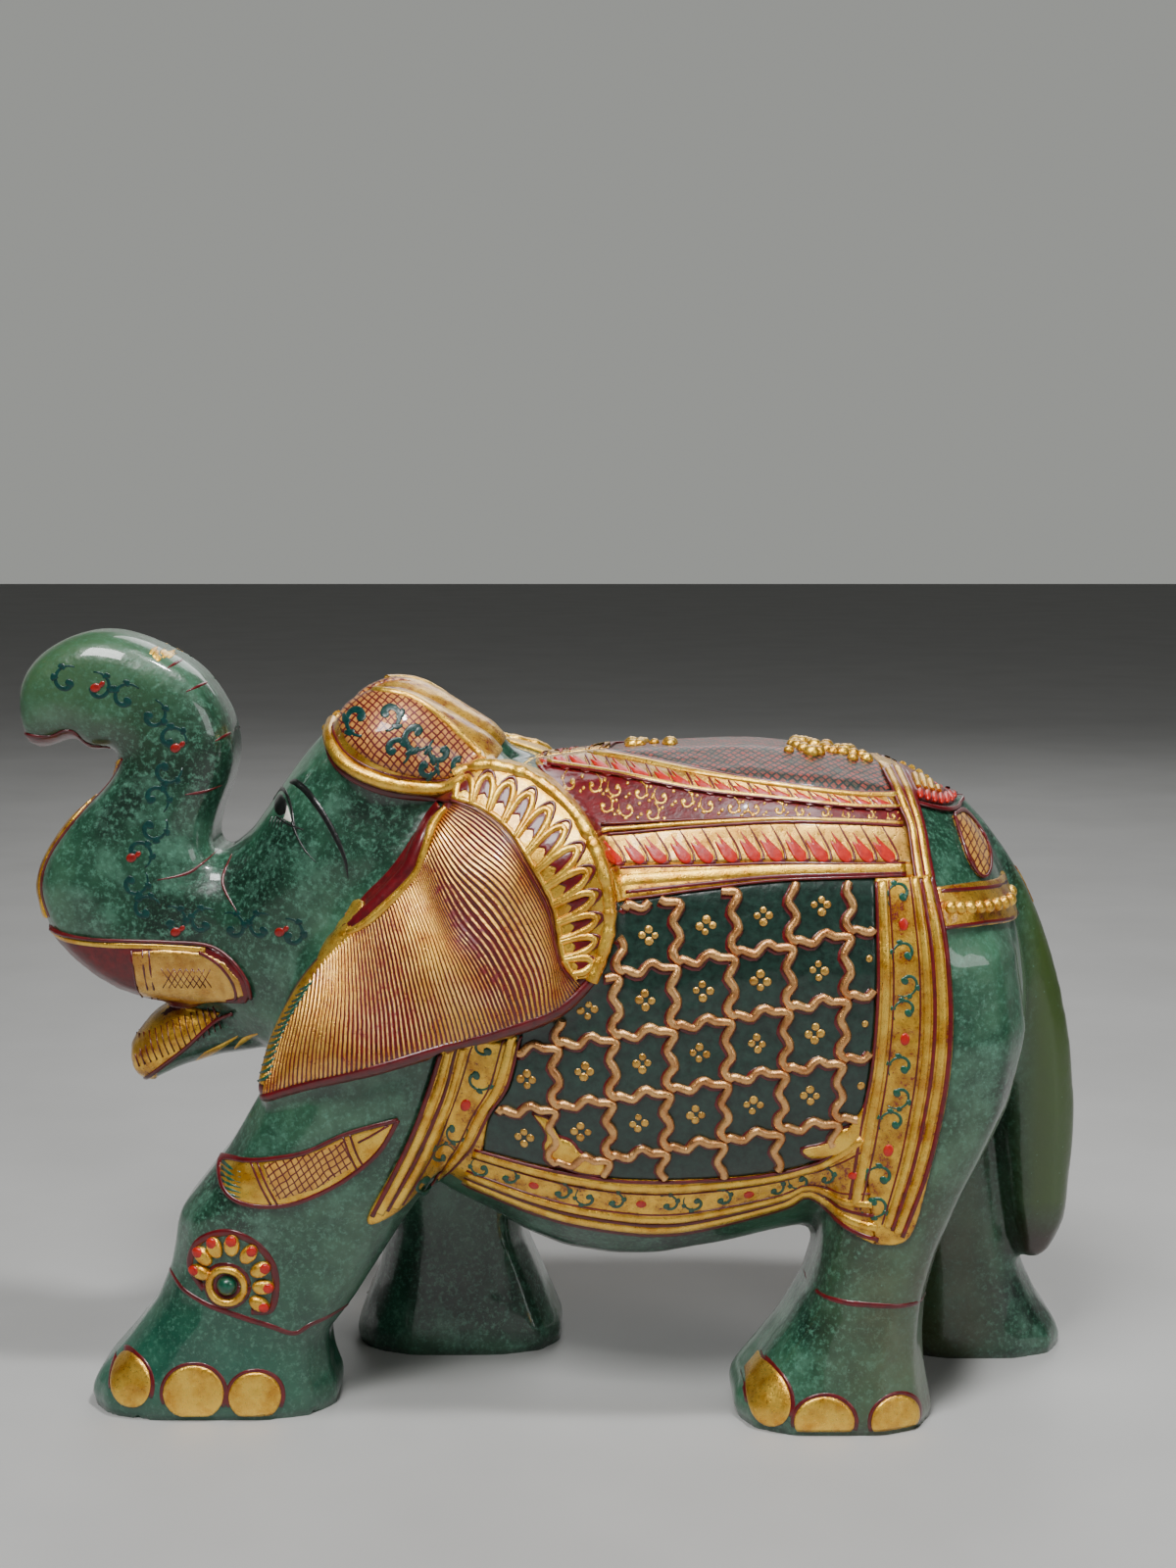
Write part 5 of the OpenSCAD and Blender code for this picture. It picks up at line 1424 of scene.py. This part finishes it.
lay("gold_smear_on_the_trunk", gold_smear, paint_tree, bright_gold, [], "raised_gold", ON_STONE)

# ---- Legs: armlets, knee rosettes, anklets and toenails ----
# Gold leaf shapes, flowers and nails painted on the stone, with crimson outlines laid by brush.
# Both sides have the same. The right legs stand further back, and their ornaments move with them.
ARMLET_SHIFT, ROSETTE_SHIFT = np.array([18, 1]), np.array([27, 1])
LEG_DEPTH = 9


def one_each(kind):
    return {LEFT: kind(), RIGHT: kind()}


armlet = smooth_path([(-20.2, 42.3), (-26.8, 40.4), (-32.3, 37.9), (-37.4, 36.6), (-44, 35.3),
                      (-44.2, 32.9), (-41.5, 30.6), (-35.6, 30.4), (-31, 32), (-26.5, 34.6),
                      (-22.7, 38), (-20.2, 42.3)])
armlet_net = [(-38.4, 36), (-30.6, 38.2), (-26.8, 39.9), (-26, 35.8), (-31, 32.7), (-36.4, 31)]
armlet_lines, armlet_tips = one_each(Drawing), one_each(Drawing)
petal_dots = one_each(Drawing)
petals, rosette_lines = one_each(Drawing), one_each(Drawing)
rosette_ring, rosette_bead = one_each(Lines), one_each(Lines)
for side, word in NAMED_SIDES:
    shift = ARMLET_SHIFT * (side == RIGHT)
    coat(f"armlet_{word}", armlet + shift, side, PAINT_RISE, bright_gold,
         ["armlets"] if side == LEFT else [], "leaf_ornament")
    coat(f"armlet_net_{word}", np.array(armlet_net) + shift, side, 0.42, leaf_net, [],
         "leaf_ornament")
    lines = armlet_lines[side]
    for run in clear_runs(armlet + shift, off_the_stone(side, LEG_DEPTH)):
        lines.stroke(run, 0.6, 0.12)
    for points in ([(-39.8, 36), (-38.4, 33), (-37.2, 30.6)],
                   [(-38.9, 36.1), (-37.5, 33), (-36.3, 30.6)],
                   [(-27.4, 40), (-26.6, 37.6), (-25.6, 35.4)],
                   [(-26.5, 40.3), (-25.7, 37.8), (-24.8, 36)],
                   [(-25.4, 39.2), (-23.4, 40.3), (-21.4, 41.6)]):
        lines.stroke(smooth_path(points, 3) + shift, 0.3, 0.1)
    for k in range(6):
        armlet_tips[side].stroke(np.array([(-44.1, 34.8 - 0.62 * k), (-42.8, 34.6 - 0.62 * k),
                                           (-41.2, 34.5 - 0.66 * k)]) + shift, [0.5, 0.4, 0.1],
                                 0.12)
    heart = np.array([-43.5, 18.8]) + ROSETTE_SHIFT * (side == RIGHT)
    outline = []
    for u, v, turn in ((-3.6, 1.6, 2.8), (-3.2, 3.9, 2.3), (-1.5, 5.3, 1.9), (0.9, 5.8, 1.5),
                       (3.1, 4.6, 0.9), (4.6, 2.4, 0.45), (4.9, -0.1, 0), (4.3, -2.5, -0.5)):
        centre = heart + (u, v)
        petals[side].pad(oval(centre, 1.55, 1.05, turn, 14), 0.85)
        outward = np.array([math.cos(turn), math.sin(turn)])
        tip = centre + outward * 0.7
        petal_dots[side].pad(oval(tip, 0.8, 0.72, turn), 0.3)
        outline.append(centre + outward * 1.7)
    rosette_lines[side].stroke(smooth_path([heart + (-3.2, -0.8)] + outline
                                           + [heart + (3.2, -3.6)]), 1.0, 0.2)
    circle = oval(heart, 2.35, 2.35, 0, 24)
    ring = np.concatenate([circle, circle[:1]])
    rosette_ring[side].path(ring, 0.55)
    rosette_lines[side].stroke(ring, 1.9, 0.15)
    rosette_bead[side].dot(*heart, 1.35)
lay("armlet_lines", armlet_lines, paint_tree, dark_red, [], "crimson_lacquer", 0.42)
lay("armlet_tips", armlet_tips, paint_tree, leaf_green, [], "green_ground", 0.36)
lay("rosette_outlines", rosette_lines, paint_tree, dark_red, [], "crimson_lacquer", ON_STONE)
lay("rosette_petals", petals, paint_tree, bright_gold, ["knee_rosettes"], "raised_gold", ON_STONE)
lay("red_tips_of_the_petals", petal_dots, paint_tree, bright_red, [], "crimson_lacquer",
    GESSO_RISE + HAIR)
lay("rosette_rings", rosette_ring, cord_tree, bright_gold, [], "raised_gold", 0.2, Unevenness=0.5)
lay("rosette_beads", rosette_bead, bead_tree, leaf_green, [], "green_ground", 0.1, Flatness=0.8)

anklets = one_each(Drawing)
for side, path in ((LEFT, [(-55, 20), (-52, 19), (-48, 16.8), (-41.7, 14.4), (-37.5, 13),
                           (-34.6, 11.8), (-32, 13), (-26, 14.4)]),
                   (LEFT, [(28, 18.4), (40, 17.8), (54, 16.8)]),
                   (RIGHT, [(-30, 11), (-24, 9.8), (-8, 10), (2, 11)]),
                   (RIGHT, [(48, 14.6), (60, 13.6), (66, 14), (70, 15.4)])):
    for run in clear_runs(smooth_path(path, 16), off_the_stone(side, LEG_DEPTH)):
        anklets[side].stroke(run, [0.5, 0.8, 0.7, 0.6], 0.14)
lay("anklets", anklets, paint_tree, dark_red, ["anklets"], "crimson_lacquer", ON_STONE)

NAILS = [(LEFT, -57, 5, 3, 3.4), (LEFT, -48.2, 4, 4.1, 3.8), (LEFT, -40, 3.4, 3.5, 3.4),
         (LEFT, 29.2, 4.4, 2.8, 3.6), (LEFT, 36.4, 2, 4, 3.4), (LEFT, 46, 2, 3.4, 3.2),
         (RIGHT, -25, 4, 3, 3.4), (RIGHT, -16.6, 3, 3.8, 3.4), (RIGHT, -8.6, 2.6, 3.2, 3.2),
         (RIGHT, 53.4, 3.6, 2.8, 3.4), (RIGHT, 60.6, 2.4, 3.8, 3.4), (RIGHT, 68.4, 2, 3.2, 3.2)]
NAIL_FLOOR = 0.7
NAIL_DEPTH = 17
nail_lines = one_each(Drawing)
for k, (side, x, z, wide, high) in enumerate(NAILS):
    nail = oval((x, z), wide, high, 0, 28)
    nail[:, 1] = np.maximum(nail[:, 1], NAIL_FLOOR)
    coat(f"toenail_{k + 1}", nail, side, 0.3, bright_gold, ["toenails"] if k == 0 else [],
         "raised_gold", reach=NAIL_DEPTH)
    angles = np.linspace(-0.15 * math.pi, 1.12 * math.pi, 26)
    arc = np.stack([x + np.cos(angles) * (wide + 0.2), z + np.sin(angles) * (high + 0.2)], axis=1)
    for run in clear_runs(arc[arc[:, 1] > NAIL_FLOOR], off_the_stone(side, NAIL_DEPTH)):
        nail_lines[side].stroke(run, [0.8, 0.65, 0.5, 0.6], 0.14)
lay("toenail_outlines", nail_lines, paint_tree, dark_red, [], "crimson_lacquer", ON_STONE)

# ---- Floor, light and camera ----
# A plain pale table under soft lamps, with a dim studio round it that is lighter low down behind
# the elephant. It is seen from its left, from a little above the back.
floor_mesh = bpy.data.meshes.new("floor")
floor_mesh.from_pydata([(-3, -3, 0), (3, -3, 0), (3, 3, 0), (-3, 3, 0)], [], [(0, 1, 2, 3)])
pale, tree, shader, spot = finish_of("pale_floor", Roughness=0.55)
tone = ramp(tree, grain_of(tree, spot, 0.05, 3), [(0.3, (0.40, 0.40, 0.39)),
                                                  (0.7, (0.45, 0.45, 0.44))])
wire(tree, (tone, shader.inputs["Base Color"]))
floor_mesh.materials.append(pale)
floor = place("floor", floor_mesh)

scene = bpy.context.scene
world = bpy.data.worlds.new("studio")
scene.world = world
world.use_nodes = True
sky = world.node_tree
around = put(sky, "ShaderNodeTexCoord").outputs["Generated"]
behind = put(sky, "ShaderNodeSeparateXYZ", {"Vector": around})
glow = put(sky, "ShaderNodeMapRange", {"Value": behind.outputs["Y"], "From Min": 0.1,
                                       "From Max": 0.9})
low_sky = put(sky, "ShaderNodeMapRange", {"Value": behind.outputs["Z"], "From Min": 0.55,
                                          "From Max": 0.24})
sky_tone = ramp(sky, product(sky, glow.outputs["Result"], low_sky.outputs["Result"]),
                [(0.0, (0.045, 0.045, 0.044)), (1.0, (0.47, 0.48, 0.455))])
wire(sky, (sky_tone, sky.nodes["Background"].inputs["Color"]))
sky.nodes["Background"].inputs["Strength"].default_value = 0.7


def lamp(name, at, aim, size, power):
    data = bpy.data.lights.new(name, "AREA")
    data.size = size
    data.energy = power
    holder = bpy.data.objects.new(name, data)
    scene.collection.objects.link(holder)
    holder.location = at
    holder.rotation_euler = (Vector(aim) - Vector(at)).to_track_quat("-Z", "Y").to_euler()


lamp("softbox", (-0.15, -0.40, 0.62), (0, 0, 0.05), 0.24, 4.8)
lamp("right_fill", (0.55, -0.5, 0.35), (0, 0, 0.05), 0.3, 1.1)
lamp("top_lamp", (0.10, -0.10, 0.5), (0, 0, 0.06), 0.05, 1.6)
lamp("back_light", (0.1, 0.6, 0.5), (0, 0, 0.06), 0.4, 1.4)

camera_data = bpy.data.cameras.new("camera")
camera_data.lens = 54
camera_data.sensor_width = 36
camera = bpy.data.objects.new("camera", camera_data)
scene.collection.objects.link(camera)
camera.location = (0.005, -0.3276, 0.1242)
camera.rotation_euler = (math.radians(83), 0, 0)
scene.camera = camera
